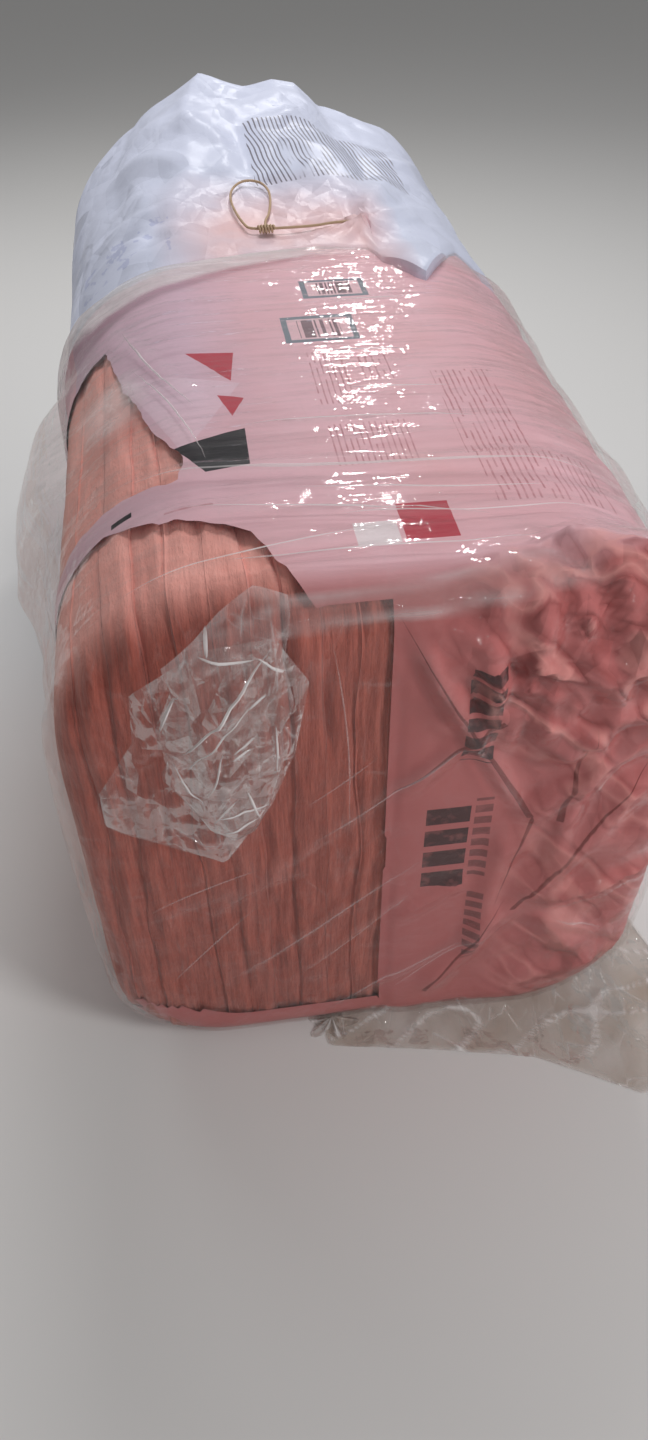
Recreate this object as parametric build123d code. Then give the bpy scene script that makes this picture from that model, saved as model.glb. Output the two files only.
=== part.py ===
"""Compressed bale of glass-wool batts in its torn plastic sleeve, a clear outer bag and a white end bag.

The bale lies on the floor on its long side. The batts stand on edge, side by side across X, and
run along Y. The near end, where the clear bag is closed, is at -Y, and the white bag covers the
far end at +Y. The origin is at the middle of the face that rests on the floor. Sizes are in mm.
"""
import math
import os

from build123d import *

# Batts: compressed slabs on edge, side by side
BATT_COUNT = 20
BATT_THICKNESS = 26.0
BATT_GAP = 1.4
BATT_WIDTH = 584.0
BATT_LENGTH = 1194.0
SLICE_MARGIN = 10.0

# Section and ends of the squeezed stack
SHOULDER_RADIUS = 140.0
FOOT_RADIUS = 108.0
END_EASE = 34.0
EASE_GROWTH = 2 - math.sqrt(2)
CROWN = 8.0
SIDE_BULGE = 7.0

# Films: walls thick enough to be solids, and the clearance between one layer and the next
FILM = 1.0
CLEARANCE = 0.4

# Torn openings of the sleeve, as plan outlines: places across from the middle, and along from the near end
TEAR_FOOT = 62.0
TEAR_SIDE = -214.0
FAR_TEAR_START = 529.0
FAR_TEAR = [(-188, 407), (-165, 327), (-141, 243), (-138, 205), (-150, 182)]
STRIP_EDGES = (190.0, 155.0)
NEAR_TEAR = [(-183, 137), (-117, 110), (-98, 96), (-69, 24), (-62, 13)]
FACE_TEAR_EDGE = -2.0
FACE_TEAR_FOOT = 24.0

# Clear bag: wavy mouth, and the loose film that stands out at the left between the mouth and the near end
MOUTH = 30.0
MOUTH_WAVE = [(-221, -6), (-141, -14), (-59, 20), (30, 25), (120, 10), (197, -17)]
FLARE_REACH = 44.0
FLARE_FROM_END = 82.0
FLARE_FROM_MOUTH = 20.0
FLARE_FROM_TOP = 67.0
FLARE_FROM_FLOOR = 70.0
FLARE_ROOT = 60.0

# Ear: the crumpled pouch on the near end, as its outline seen from there and measured from the top left edge
EAR_OUTLINE = [(15, -167), (35, -67), (103, -15), (203, -27), (211, -167), (163, -269), (83, -281)]
EAR_REACH = 32.0
EAR_TAPER = 32.0

# Fold: the doubled band of clear film along the near top edge, its ends measured from the top left edge
FOLD_RISE = 3.0
FOLD_ENDS = [(113, -57), (409, -9)]
FOLD_WIDTH = 34.0
FOLD_DEPTH = 60.0

# Skirt and tuft: spare film of the clear bag, flat on the floor, measured from the near right corner
SKIRT_THICKNESS = 2.0
SKIRT_EDGE = [(-337, 37), (-329, -21), (-218, -43), (-113, -67), (-11, -125), (57, -93), (72, -3), (45, 97),
              (-11, 197)]
SKIRT_ROOT = [(-73, 197), (-123, 67)]
TUFT_AT = (-323, 5)
TUFT_RADIUS = 13.0
TUFT_HEIGHT = 6.0

# White bag: its mouth edge with the pointed flap, seen from above, and its ridges as rises over its flat top
BAG_SLACK = 4.0
MOUTH_STEP = 4.0
BAG_MOUTH = MOUTH + MOUTH_STEP
BAG_MOUTH_EDGE = [(-258, 40), (-186, 24), (-104, 46), (-46, 58), (30, 66), (96, 52)]
FLAP_TIP = (148, -23)
FLAP_RIGHT = [(204, 62), (262, 42)]
FLAP_DROP = 157.0
BAG_FOOT = 50.0
BAG_SHOULDER = 110.0
BAG_FOLD = 0.27
BAG_SAG = 0.5
LEFT_PEAK = (-76.0, 60.0)
VALLEY = (-5.0, 40.0)
RIGHT_PEAK = (58.0, 46.0)

# Rise of the ridges: share of the way from the bag's mouth to the bale's end, and share of their height
BAG_RISE = [(-0.12, 0), (0.135, 0.08), (0.525, 0.45), (0.79, 0.8)]

# Closed end of the white bag: distance beyond the bale's end, share of the ridges' height, and how far it draws in
BAG_END = [(-7, 1, 0), (35, 0.9, 22), (55, 0.6, 70)]

# Gather: the pleated lump of the white bag that the cord comes out of
GATHER_SIZE = (36.0, 30.0, 20.0)
GATHER_AT = (92.0, 111.0)
GATHER_RISE = 6.2

# Draw cord: from the gather, through the knot and round its loop back to the knot, its heights over the bag's top
CORD_DIAMETER = 3.0
CORD_CLEARANCE = 0.3
KNOT_SIZE = (24.0, 14.0, 9.0)
KNOT_AT = (-22.0, 100.0)
KNOT_EASE = 2.5
KNOT_INDEX = 3
ARC_SHARE = 0.45
CORD_ROUTE = [
    (79, 111.5, 8.6), (59, 111.5, 8.6), (38, 104, 8.6), (8, 100, 9.6), (-44, 100, 9.6),
    (-52, 118, 10.3), (-57, 141, 12.1), (-59, 168, 14.7), (-58, 196, 17.2), (-52, 223, 19.2), (-39, 245, 20.2),
    (-24, 252, 19.4), (-10, 243, 17.6), (-4, 220, 15.6), (-5, 195, 14), (-9, 168, 12.4), (-15, 141, 10.8),
    (-22, 123, 9.6), (-22, 107, 9.6),
]

STACK_WIDTH = BATT_COUNT * BATT_THICKNESS + (BATT_COUNT - 1) * BATT_GAP
SLEEVE_GROW = CLEARANCE
CLEAR_GROW = SLEEVE_GROW + FILM + CLEARANCE
FLOOR_STACK = CLEAR_GROW + FILM
HALF_LENGTH = BATT_LENGTH / 2
BALE_TOP = FLOOR_STACK + BATT_WIDTH
BAG_HALF = STACK_WIDTH / 2 + FLOOR_STACK + BAG_SLACK
BAG_TOP = BALE_TOP + FLOOR_STACK + BAG_SLACK
NEAR_END = (0, -HALF_LENGTH)
NEAR_RIGHT = (STACK_WIDTH / 2, -HALF_LENGTH)
TOP_LEFT = (-STACK_WIDTH / 2, BALE_TOP)
BEYOND = 1000.0


def shifted(points, origin):
    """Points of a flat outline moved from their own origin to where it lies."""
    return [(x + origin[0], y + origin[1]) for x, y in points]


def loaf(grow):
    """The squeezed stack as one solid, grown outwards by the given amount all round."""
    half = STACK_WIDTH / 2 - SIDE_BULGE
    side_top = BATT_WIDTH - CROWN
    outline = [
        Line((-half, 0), (half, 0)),
        ThreePointArc((half, 0), (half + SIDE_BULGE, side_top / 2), (half, side_top)),
        ThreePointArc((half, side_top), (0, BATT_WIDTH), (-half, side_top)),
        ThreePointArc((-half, side_top), (-half - SIDE_BULGE, side_top / 2), (-half, 0)),
    ]
    section = make_face(outline)
    section = fillet(section.vertices().group_by(Axis.Y)[-1], SHOULDER_RADIUS)
    section = fillet(section.vertices().group_by(Axis.Y)[0], FOOT_RADIUS)
    if grow:
        section = offset(section, grow)
    length = BATT_LENGTH + 2 * grow
    prism = extrude(Pos(0, -length / 2, FLOOR_STACK) * (Plane.XZ * section), -length)
    ends = prism.faces().filter_by(Axis.Y).edges()
    return chamfer(ends, END_EASE + EASE_GROWTH * grow)


def plan_prism(edge, bottom):
    """Everything above a height inside an outline that is given from above."""
    return extrude(Pos(0, 0, bottom) * make_face(edge), BEYOND)


def make_batts():
    """The slabs that fill the squeezed stack, each cut to its outline and clear of the next."""
    stack = loaf(0)
    slabs = []
    for index in range(BATT_COUNT):
        x = (index - (BATT_COUNT - 1) / 2) * (BATT_THICKNESS + BATT_GAP)
        slab = Pos(x, 0, BALE_TOP / 2) * Box(BATT_THICKNESS, BATT_LENGTH + SLICE_MARGIN, BALE_TOP + SLICE_MARGIN)
        slabs.append((slab & stack).solid())
    return Compound(slabs)


def make_sleeve():
    """The printed sleeve, torn open along its left side, over the left shoulder and at the near end."""
    shell = loaf(SLEEVE_GROW + FILM) - loaf(SLEEVE_GROW)
    strip_far, strip_near = STRIP_EDGES
    far = [(-BEYOND, FAR_TEAR_START), (TEAR_SIDE, FAR_TEAR_START), *FAR_TEAR, (TEAR_SIDE, strip_far)]
    near = [(TEAR_SIDE, strip_near), *NEAR_TEAR, (NEAR_TEAR[-1][0], -BEYOND), (-BEYOND, -BEYOND)]
    tear = Polyline(*shifted(far + near, NEAR_END), close=True)
    shell -= plan_prism(tear, FLOOR_STACK + TEAR_FOOT)
    face = -HALF_LENGTH + END_EASE / 3
    face_edge = [(-BEYOND, face), (FACE_TEAR_EDGE, face), (FACE_TEAR_EDGE, -BEYOND), (-BEYOND, -BEYOND)]
    return shell - plan_prism(Polyline(*face_edge, close=True), FLOOR_STACK + FACE_TEAR_FOOT)


def bulge_profile(low, high, reach, root):
    """Closed outline of loose film that stands out to the left between two ends of its root line."""
    curve = ThreePointArc((root, low), (reach, (low + high) / 2), (root, high))
    return make_face([curve, Line((root, high), (root, low))])


def flare(inset):
    """The loose film that stands out from the left side, as the solid it would fill."""
    side = -STACK_WIDTH / 2
    reach = side - FLARE_REACH + inset
    root = side + FLARE_ROOT
    near, far = FLARE_FROM_END - HALF_LENGTH, MOUTH - FLARE_FROM_MOUTH
    plan = bulge_profile(near + inset, far - inset, reach, root)
    end = bulge_profile(FLARE_FROM_FLOOR + inset, BALE_TOP - FLARE_FROM_TOP - inset, reach, root)
    upright = extrude(plan, BEYOND)
    along = extrude(Pos(0, BEYOND, 0) * (Plane.XZ * end), 2 * BEYOND)
    return upright & along


def ear(inset):
    """The puffed pouch on the near end, as the solid it would fill."""
    outline = offset(make_face(Polyline(*shifted(EAR_OUTLINE, TOP_LEFT), close=True)), -inset)
    root = -HALF_LENGTH + END_EASE
    return extrude(Pos(0, root, 0) * (Plane.XZ * outline), EAR_REACH + END_EASE - inset, taper=EAR_TAPER)


def make_clear_bag():
    """The clear bag: closed at the near end, with its fold, flare, ear, tuft and floor skirt."""
    outside = loaf(CLEAR_GROW + FILM) + flare(0) + ear(0)
    inside = loaf(CLEAR_GROW) + flare(FILM) + ear(FILM)
    wave = Spline((-BEYOND, MOUTH), *MOUTH_WAVE, (BEYOND, MOUTH))
    far = Polyline((BEYOND, MOUTH), (BEYOND, BEYOND), (-BEYOND, BEYOND), (-BEYOND, MOUTH))
    bag = outside - inside - plan_prism([*wave.edges(), *far.edges()], -FILM)

    low = shifted(FOLD_ENDS, TOP_LEFT)
    high = shifted(low, (0, FOLD_WIDTH))
    band = Polyline(*low, *reversed(high), close=True)
    reach = extrude(Pos(0, -HALF_LENGTH + FOLD_DEPTH, 0) * (Plane.XZ * make_face(band)), 2 * FOLD_DEPTH)
    fold = (loaf(CLEAR_GROW + FILM + FOLD_RISE) - loaf(CLEAR_GROW + FILM / 2)) & reach

    edge = Spline(*SKIRT_EDGE)
    root = Polyline(SKIRT_EDGE[-1], *SKIRT_ROOT, SKIRT_EDGE[0])
    skirt = extrude(make_face([*edge.edges(), *root.edges()]), SKIRT_THICKNESS)
    tuft = Pos(*TUFT_AT, TUFT_HEIGHT / 2) * Cylinder(TUFT_RADIUS, TUFT_HEIGHT)
    return bag + fold + (Pos(*NEAR_RIGHT) * (skirt + tuft) - loaf(CLEAR_GROW))


def bag_section(y, lift, shrink, inset):
    """One station of the white bag: lift raises its ridges to their full height, shrink draws it in."""
    half = BAG_HALF - shrink - inset
    low = BAG_SAG * shrink + inset
    top = BAG_TOP - shrink - inset
    foot = BAG_FOOT - inset
    shoulder = BAG_SHOULDER - inset
    fold = BAG_FOLD * shoulder
    ridge = [(x, top + lift * rise) for x, rise in (RIGHT_PEAK, VALLEY, LEFT_PEAK)]
    outline = Polyline(
        (foot - half, low), (half - foot, low), (half, low + foot), (half, top - shoulder),
        (half - fold, top - fold), (half - shoulder, top), *ridge,
        (shoulder - half, top), (fold - half, top - fold), (-half, top - shoulder), (-half, low + foot), close=True)
    return Pos(0, y, 0) * (Plane.XZ * make_face(outline))


def bag_stations(film):
    """Place along the bale, lift and draw-in of each station, with both ends moved in by a film's wall."""
    reach = HALF_LENGTH - BAG_MOUTH
    stations = [(BAG_MOUTH + share * reach, lift, 0) for share, lift in BAG_RISE]
    stations += [(HALF_LENGTH + beyond, lift, shrink) for beyond, lift, shrink in BAG_END]
    (near, *near_form), *middle, (far, *far_form) = stations
    return [(near - film, *near_form), *middle, (far - film, *far_form)]


def make_white_bag():
    """The white bag over the far end: a puffed shell with its mouth edge, pointed flap and gather."""
    outer = loft([bag_section(*station, 0) for station in bag_stations(0)], ruled=True)
    inner = loft([bag_section(*station, FILM) for station in bag_stations(FILM)], ruled=True)

    gather = (*GATHER_AT, BAG_TOP + GATHER_RISE)
    lump = Pos(*gather) * scale(Sphere(1), by=tuple(size / 2 for size in GATHER_SIZE))
    lump -= Pos(CORD_ROUTE[0][0] - GATHER_SIZE[0] / 2, *gather[1:]) * Box(*GATHER_SIZE)

    left = Spline((-BEYOND, BAG_MOUTH), *BAG_MOUTH_EDGE)
    right = Spline(*FLAP_RIGHT, (BEYOND, BAG_MOUTH))
    flap = Polyline(BAG_MOUTH_EDGE[-1], FLAP_TIP, FLAP_RIGHT[0])
    near = Polyline((BEYOND, BAG_MOUTH), (BEYOND, -BEYOND), (-BEYOND, -BEYOND), (-BEYOND, BAG_MOUTH))
    flap_floor = BALE_TOP - FLAP_DROP
    above = plan_prism([*left.edges(), *flap.edges(), *right.edges(), *near.edges()], flap_floor)
    below = Pos(0, BAG_MOUTH - BEYOND, 0) * Box(2 * BEYOND, 2 * BEYOND, 2 * flap_floor)
    return outer + lump - inner - above - below


def cord_radii(points):
    """The largest arc for each corner of the route that its two runs leave room for."""
    radii = []
    for before, here, after in zip(points, points[1:], points[2:]):
        run_in, run_out = Vector(*here) - before, Vector(*after) - here
        turn = math.radians(run_in.get_angle(run_out))
        radii.append(ARC_SHARE * min(run_in.length, run_out.length) / math.tan(turn / 2))
    return radii


def make_draw_cord():
    """The draw cord: out of the gather, through the knot, and round its loop back to the knot."""
    radii = cord_radii(CORD_ROUTE)
    print("cord radii", [round(radius, 1) for radius in radii])
    path = FilletPolyline(*CORD_ROUTE, radius=radii)
    start = Plane(origin=path @ 0, z_dir=path % 0)
    return Pos(0, 0, BAG_TOP) * sweep(start * Circle(CORD_DIAMETER / 2), path)


def make_cord_knot():
    """The knot that the cord runs through, as the block that its tight turns fill."""
    length, depth, height = KNOT_SIZE
    at = Pos(*KNOT_AT, BAG_TOP + CORD_ROUTE[KNOT_INDEX][2])
    block = chamfer(Box(length, depth, height).edges(), KNOT_EASE)
    bore = Rot(0, 90, 0) * Cylinder(CORD_DIAMETER / 2 + CORD_CLEARANCE, length)
    return at * (block - bore)


if __name__ == "__main__":
    os.makedirs("parts", exist_ok=True)
    nodes = {
        "batts": make_batts(),
        "sleeve": make_sleeve(),
        "clear_bag": make_clear_bag(),
        "white_bag": make_white_bag(),
        "draw_cord": make_draw_cord(),
        "cord_knot": make_cord_knot(),
    }
    for node, shape in nodes.items():
        export_step(shape, f"parts/{node}.step")
        print(node, len(shape.solids()), round(shape.volume))
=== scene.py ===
"""Looks of the compressed bale of insulation batts in its plastic films, laid out as an add-on.

Everything is in metres, in the model's own axes: the bale lies along Y with its clear-bagged near end
at -Y, and Z is up. A film is a grid that wraps the bale: u goes once round the girth from the middle of
the bottom leftwards, and t is the distance along the bale from the middle of its near end, over the edge.
"""
import math

import bpy
import numpy as np
from mathutils import Matrix, Vector, noise


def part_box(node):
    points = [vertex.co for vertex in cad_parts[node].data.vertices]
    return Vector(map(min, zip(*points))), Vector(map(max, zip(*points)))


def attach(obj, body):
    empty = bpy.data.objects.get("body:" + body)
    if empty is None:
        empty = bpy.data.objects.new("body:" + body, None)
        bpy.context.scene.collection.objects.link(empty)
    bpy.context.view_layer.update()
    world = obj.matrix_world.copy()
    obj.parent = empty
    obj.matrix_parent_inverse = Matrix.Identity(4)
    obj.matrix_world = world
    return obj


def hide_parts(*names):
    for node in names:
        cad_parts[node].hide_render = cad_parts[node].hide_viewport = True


bl_info = {
    "name": "Insulation bale",
    "version": (1, 0, 0),
    "blender": (4, 5, 0),
    "location": "View3D > Sidebar > Bale",
    "description": "Builds the wool, films, cord and stage of a compressed bale of insulation batts",
    "category": "Object",
}

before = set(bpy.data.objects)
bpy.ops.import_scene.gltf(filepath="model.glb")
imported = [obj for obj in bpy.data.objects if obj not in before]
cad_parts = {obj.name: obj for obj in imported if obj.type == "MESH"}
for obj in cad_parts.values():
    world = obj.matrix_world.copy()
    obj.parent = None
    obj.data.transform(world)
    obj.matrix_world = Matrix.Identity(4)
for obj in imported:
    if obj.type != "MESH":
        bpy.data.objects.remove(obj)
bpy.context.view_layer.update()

# The squeezed stack, read from the frame
BATTS_LOW, BATTS_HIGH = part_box("batts")
HALF_WIDTH = (BATTS_HIGH.x - BATTS_LOW.x) / 2
HALF_LENGTH = (BATTS_HIGH.y - BATTS_LOW.y) / 2
HEIGHT = BATTS_HIGH.z - BATTS_LOW.z
FLOOR = BATTS_LOW.z
BALE_TOP = BATTS_HIGH.z

# Section and ends of the stack
SHOULDER = 0.140
FOOT = 0.108
END_EASE = 0.040
CROWN = 0.008
SIDE_BULGE = 0.007

# Slabs of the stack
SLAB_COUNT = 20
SLAB_GAP = 0.0014
SLAB_THICKNESS = (2 * HALF_WIDTH - (SLAB_COUNT - 1) * SLAB_GAP) / SLAB_COUNT
SLAB_COLUMNS = 290
WALL_BULGE = 0.0006

# Torn openings of the sleeve: the height of their foot and how far they reach across on the left side, and
# their edges on the top, across and along, and on the near end, across
TEAR_FOOT = 0.065
TEAR_SIDE = -0.214
FAR_TEAR = [(TEAR_SIDE, -0.098), (-0.205, -0.150), (-0.196, -0.206), (-0.167, -0.325), (-0.144, -0.378),
            (-0.150, -0.415), (TEAR_SIDE, -0.407)]
NEAR_TEAR = [(TEAR_SIDE, -0.442), (-0.183, -0.460), (-0.117, -0.487), (-0.098, -0.501), (-0.069, -0.573)]
FACE_TEAR_EDGE = -0.002

# Mouth of the white bag and the line where the clear bag's milky hem begins: across and along the bale on
# the top, and where both run along the bottom
WHITE_MOUTH = [(-0.3, 0.034), (-0.258, 0.040), (-0.186, 0.024), (-0.104, 0.046), (-0.046, 0.058),
               (0.030, 0.066), (0.094, 0.054), (0.102, 0.014), (0.139, -0.044), (0.190, 0.062),
               (0.206, 0.092), (0.262, 0.086), (0.3, 0.070)]
WHITE_MOUTH_BELOW = 0.034
HEM_LINE = [(-0.3, 0.010), (-0.221, -0.045), (-0.136, -0.022), (-0.068, 0.012), (0.019, 0.040),
            (0.100, 0.030), (0.197, 0.000), (0.3, 0.012)]
HEM_BELOW = 0.010

# White bag: where its crests and valley run, as places across for places along, and the share of their
# full height that they have along the bale, and where its far end lies
LEFT_CREST = [(0.10, -0.095), (0.28, -0.100), (0.46, -0.100), (0.58, -0.068), (0.70, -0.068)]
VALLEY = [(0.12, 0.050), (0.20, 0.006), (0.27, -0.024), (0.38, -0.032), (0.43, -0.030), (0.575, -0.004),
          (0.70, -0.004)]
RIGHT_CREST = [(0.10, 0.105), (0.24, 0.070), (0.42, 0.043), (0.58, 0.038), (0.70, 0.038)]
RIDGE_GROWTH = [(0.030, 0.0), (0.110, 0.08), (0.330, 0.45), (0.479, 0.80), (0.590, 1.0), (0.640, 0.90),
                (0.660, 0.60)]
WHITE_REACH = 0.652

# White bag: long creases on its top, each from one place to another, with its width and height
WHITE_CREASES = [
    ((-0.104, 0.437), (-0.046, 0.345), 0.030, 0.008), ((-0.046, 0.345), (-0.060, 0.262), 0.026, 0.006),
    ((-0.031, 0.432), (-0.024, 0.266), 0.028, -0.007), ((-0.024, 0.266), (0.006, 0.202), 0.024, -0.007),
    ((0.006, 0.202), (0.051, 0.119), 0.020, -0.006), ((0.099, 0.506), (0.043, 0.418), 0.030, 0.008),
    ((0.043, 0.418), (-0.016, 0.426), 0.022, 0.006), ((0.090, 0.214), (0.084, 0.118), 0.018, -0.006),
    ((0.161, 0.293), (0.100, 0.118), 0.026, 0.009), ((0.215, 0.230), (0.112, 0.108), 0.024, 0.007),
    ((0.130, 0.384), (0.125, 0.258), 0.022, -0.006), ((-0.205, 0.418), (-0.105, 0.280), 0.030, 0.008),
    ((-0.225, 0.209), (-0.140, 0.170), 0.024, 0.007), ((-0.140, 0.170), (-0.160, 0.090), 0.022, -0.007),
    ((-0.190, 0.330), (-0.225, 0.209), 0.026, -0.007), ((-0.140, 0.170), (-0.100, 0.281), 0.024, 0.006),
    ((-0.235, 0.120), (-0.150, 0.130), 0.018, 0.006), ((-0.200, 0.160), (-0.120, 0.100), 0.016, -0.006),
    ((0.060, 0.300), (0.039, 0.240), 0.018, 0.004), ((0.230, 0.450), (0.180, 0.350), 0.030, 0.008),
]

# Clear film folded double over the near top edge: across, and distance before the top begins
FOLD_LINE = [(-0.190, -0.090), (-0.155, -0.060), (-0.078, -0.036), (0.019, -0.033), (0.128, -0.022),
             (0.175, -0.020)]

# Crushed ear of the clear bag on the near end, across and up: its outer band and its inner pouch
EAR_OUTLINE = [(-0.202, 0.523), (-0.206, 0.474), (-0.239, 0.421), (-0.240, 0.382), (-0.228, 0.370),
               (-0.201, 0.353), (-0.145, 0.315), (-0.101, 0.385), (-0.080, 0.444), (-0.067, 0.519),
               (-0.090, 0.560), (-0.150, 0.556)]
POUCH_OUTLINE = [(-0.076, 0.586), (-0.086, 0.549), (-0.080, 0.506), (-0.089, 0.483), (-0.090, 0.441),
                 (-0.102, 0.398), (-0.115, 0.368), (-0.134, 0.352), (-0.155, 0.372), (-0.168, 0.402),
                 (-0.188, 0.440), (-0.180, 0.458), (-0.187, 0.490), (-0.170, 0.530), (-0.176, 0.550),
                 (-0.150, 0.566), (-0.131, 0.580), (-0.103, 0.596)]

# Sharp creases of the clear bag, each from one place to another with its width: on the ear and the near end
# across and up, and on the top across and along
EAR_CREASES = [
    ((-0.172, 0.476), (-0.095, 0.563), 0.0022), ((-0.168, 0.456), (-0.109, 0.532), 0.0018),
    ((-0.154, 0.431), (-0.137, 0.484), 0.0016), ((-0.178, 0.463), (-0.156, 0.415), 0.0022),
    ((-0.131, 0.477), (-0.111, 0.491), 0.0026), ((-0.132, 0.471), (-0.114, 0.478), 0.0026),
    ((-0.116, 0.523), (-0.101, 0.535), 0.0026), ((-0.150, 0.561), (-0.106, 0.556), 0.0022),
    ((-0.184, 0.492), (-0.164, 0.536), 0.0026), ((-0.108, 0.558), (-0.084, 0.540), 0.0022),
    ((-0.150, 0.400), (-0.100, 0.404), 0.0018), ((-0.152, 0.392), (-0.128, 0.420), 0.0020),
    ((-0.122, 0.430), (-0.112, 0.388), 0.0022), ((-0.146, 0.380), (-0.112, 0.392), 0.0026),
    ((-0.096, 0.500), (-0.098, 0.450), 0.0016), ((-0.140, 0.575), (-0.142, 0.560), 0.0030),
]
FACE_CREASES = [
    ((0.090, 0.470), (-0.070, 0.330), 0.0022), ((0.040, 0.300), (-0.150, 0.130), 0.0020),
    ((0.090, 0.165), (-0.060, 0.045), 0.0020), ((0.030, 0.250), (-0.090, 0.120), 0.0018),
    ((-0.110, 0.300), (-0.225, 0.250), 0.0020), ((0.165, 0.190), (0.225, 0.150), 0.0018),
    ((-0.010, 0.430), (-0.075, 0.375), 0.0016), ((0.110, 0.180), (0.010, 0.075), 0.0018),
    ((-0.050, 0.560), (-0.036, 0.340), 0.0014), ((-0.115, 0.250), (-0.215, 0.130), 0.0018),
]
TOP_CREASES = [
    ((-0.190, -0.408), (0.200, -0.444), 0.0026), ((-0.150, -0.470), (0.090, -0.515), 0.0022),
    ((-0.030, -0.500), (0.180, -0.502), 0.0020), ((-0.090, -0.350), (0.120, -0.362), 0.0020),
    ((-0.200, -0.550), (0.010, -0.522), 0.0020), ((-0.195, -0.110), (-0.130, -0.300), 0.0022),
    ((-0.185, -0.200), (-0.125, -0.400), 0.0018), ((-0.060, -0.452), (0.150, -0.478), 0.0020),
    ((0.010, -0.292), (0.110, -0.300), 0.0018), ((0.000, -0.210), (0.085, -0.215), 0.0018),
    ((0.020, -0.090), (0.110, -0.098), 0.0018), ((-0.120, -0.545), (0.120, -0.556), 0.0020),
]

# Broad folds, each from one place to another with its width and height: of the sleeve and of the clear bag on
# the near end, across and up, and of the clear bag on the top, across and along
SLEEVE_FACE_FOLDS = [
    ((0.000, 0.572), (0.126, 0.332), 0.014, 0.007), ((0.085, 0.460), (-0.010, 0.360), 0.014, 0.005),
    ((0.260, 0.470), (0.110, 0.330), 0.020, 0.008), ((0.235, 0.390), (0.125, 0.200), 0.022, 0.009),
    ((0.110, 0.330), (0.090, 0.110), 0.018, 0.006), ((0.260, 0.250), (0.140, 0.205), 0.020, 0.010),
    ((0.140, 0.205), (0.235, 0.075), 0.024, 0.009), ((0.080, 0.250), (0.000, 0.190), 0.012, 0.004),
    ((0.130, 0.215), (0.040, 0.060), 0.020, 0.006), ((0.180, 0.440), (0.150, 0.260), 0.016, 0.007),
]
CLEAR_FACE_FOLDS = [
    ((0.090, 0.470), (-0.190, 0.215), 0.010, 0.005), ((0.040, 0.300), (-0.150, 0.130), 0.009, 0.004),
    ((0.150, 0.215), (-0.060, 0.045), 0.011, 0.005), ((0.000, 0.574), (0.125, 0.330), 0.012, 0.006),
    ((0.030, 0.250), (-0.090, 0.120), 0.007, 0.003), ((0.125, 0.330), (0.225, 0.460), 0.010, 0.004),
    ((-0.060, 0.300), (-0.230, 0.240), 0.012, 0.004), ((0.150, 0.205), (0.250, 0.120), 0.012, 0.006),
]
CLEAR_TOP_FOLDS = [
    ((-0.22, -0.405), (0.24, -0.445), 0.014, 0.005), ((-0.16, -0.47), (0.10, -0.52), 0.008, 0.003),
    ((-0.04, -0.50), (0.19, -0.50), 0.007, 0.003), ((-0.10, -0.35), (0.12, -0.36), 0.008, 0.003),
    ((-0.21, -0.56), (0.02, -0.52), 0.007, 0.003), ((-0.21, -0.06), (-0.12, -0.30), 0.010, 0.004),
    ((-0.195, -0.20), (-0.125, -0.40), 0.008, 0.003),
]

# Skirt of the clear bag on the floor: its outer edge, and where it leaves the foot of the bale
SKIRT_OUTLINE = [(-0.064, -0.575), (-0.056, -0.618), (0.055, -0.640), (0.160, -0.664), (0.262, -0.722),
                 (0.330, -0.690), (0.345, -0.600), (0.318, -0.500), (0.270, -0.405)]
SKIRT_ROOT = [(-0.062, -0.590), (0.150, -0.592), (0.235, -0.560), (0.262, -0.410)]

# Crumpled near corner of the sleeve: its middle and how far it reaches each way
CORNER_AT = (0.150, -0.597, 0.52)
CORNER_REACH = (0.125, 0.075, 0.115)

# Places along the bale where the sleeve's fine rows end, up to which the clear bag's rows are counted, and
# from which the white bag's are
SLEEVE_FINE_TO = 0.09
SLEEVE_COARSE_ROWS = 24
CLEAR_TO = 0.06
WHITE_FROM = 0.05

# Loose film at the left, along and up: the broad flare, and the part that hangs over it from the shoulder
FLARE_AT = (-0.252, 0.300)
HANGING_AT = (-0.240, 0.455)
HANGING_OUT = 0.028

# Spots on the top, across and along: a milky patch of the clear bag over the far tear, the white bag's calm
# middle behind its mouth, and its pointed flap
MILKY_PATCH_AT = (-0.203, -0.245)
CALM_AT = (-0.02, 0.16)
FLAP_AT = (0.146, 0.005)

# Draw cord: the same route as in the model, with heights over the flat top of the white bag
BAG_TOP = 0.5936
CORD_DIAMETER = 0.003
CORD_ROUTE = [
    (0.079, 0.1115, 0.0086), (0.059, 0.1115, 0.0086), (0.038, 0.104, 0.0086), (0.008, 0.100, 0.0096),
    (-0.041, 0.101, 0.0096), (-0.047, 0.118, 0.0103), (-0.052, 0.141, 0.0121), (-0.056, 0.168, 0.0147),
    (-0.057, 0.194, 0.0172), (-0.052, 0.219, 0.0192), (-0.040, 0.239, 0.0202), (-0.026, 0.245, 0.0194),
    (-0.013, 0.238, 0.0176), (-0.007, 0.218, 0.0156), (-0.007, 0.194, 0.0140), (-0.010, 0.168, 0.0124),
    (-0.015, 0.141, 0.0108), (-0.022, 0.123, 0.0096), (-0.022, 0.107, 0.0096),
]
KNOT_AT = (-0.022, 0.100)
KNOT_LENGTH = 0.019
KNOT_TURNS = 5.5
KNOT_POINTS = 66
GATHER_AT = (0.092, 0.111)

# Camera: place, and degrees down, to the right and of roll, with its lens on a 36 mm sensor
CAMERA_AT = (-0.137, -1.194, 1.053)
CAMERA_DOWN = 43.994
CAMERA_RIGHT = 7.769
CAMERA_ROLL = -0.668
CAMERA_LENS = 26.515


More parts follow.
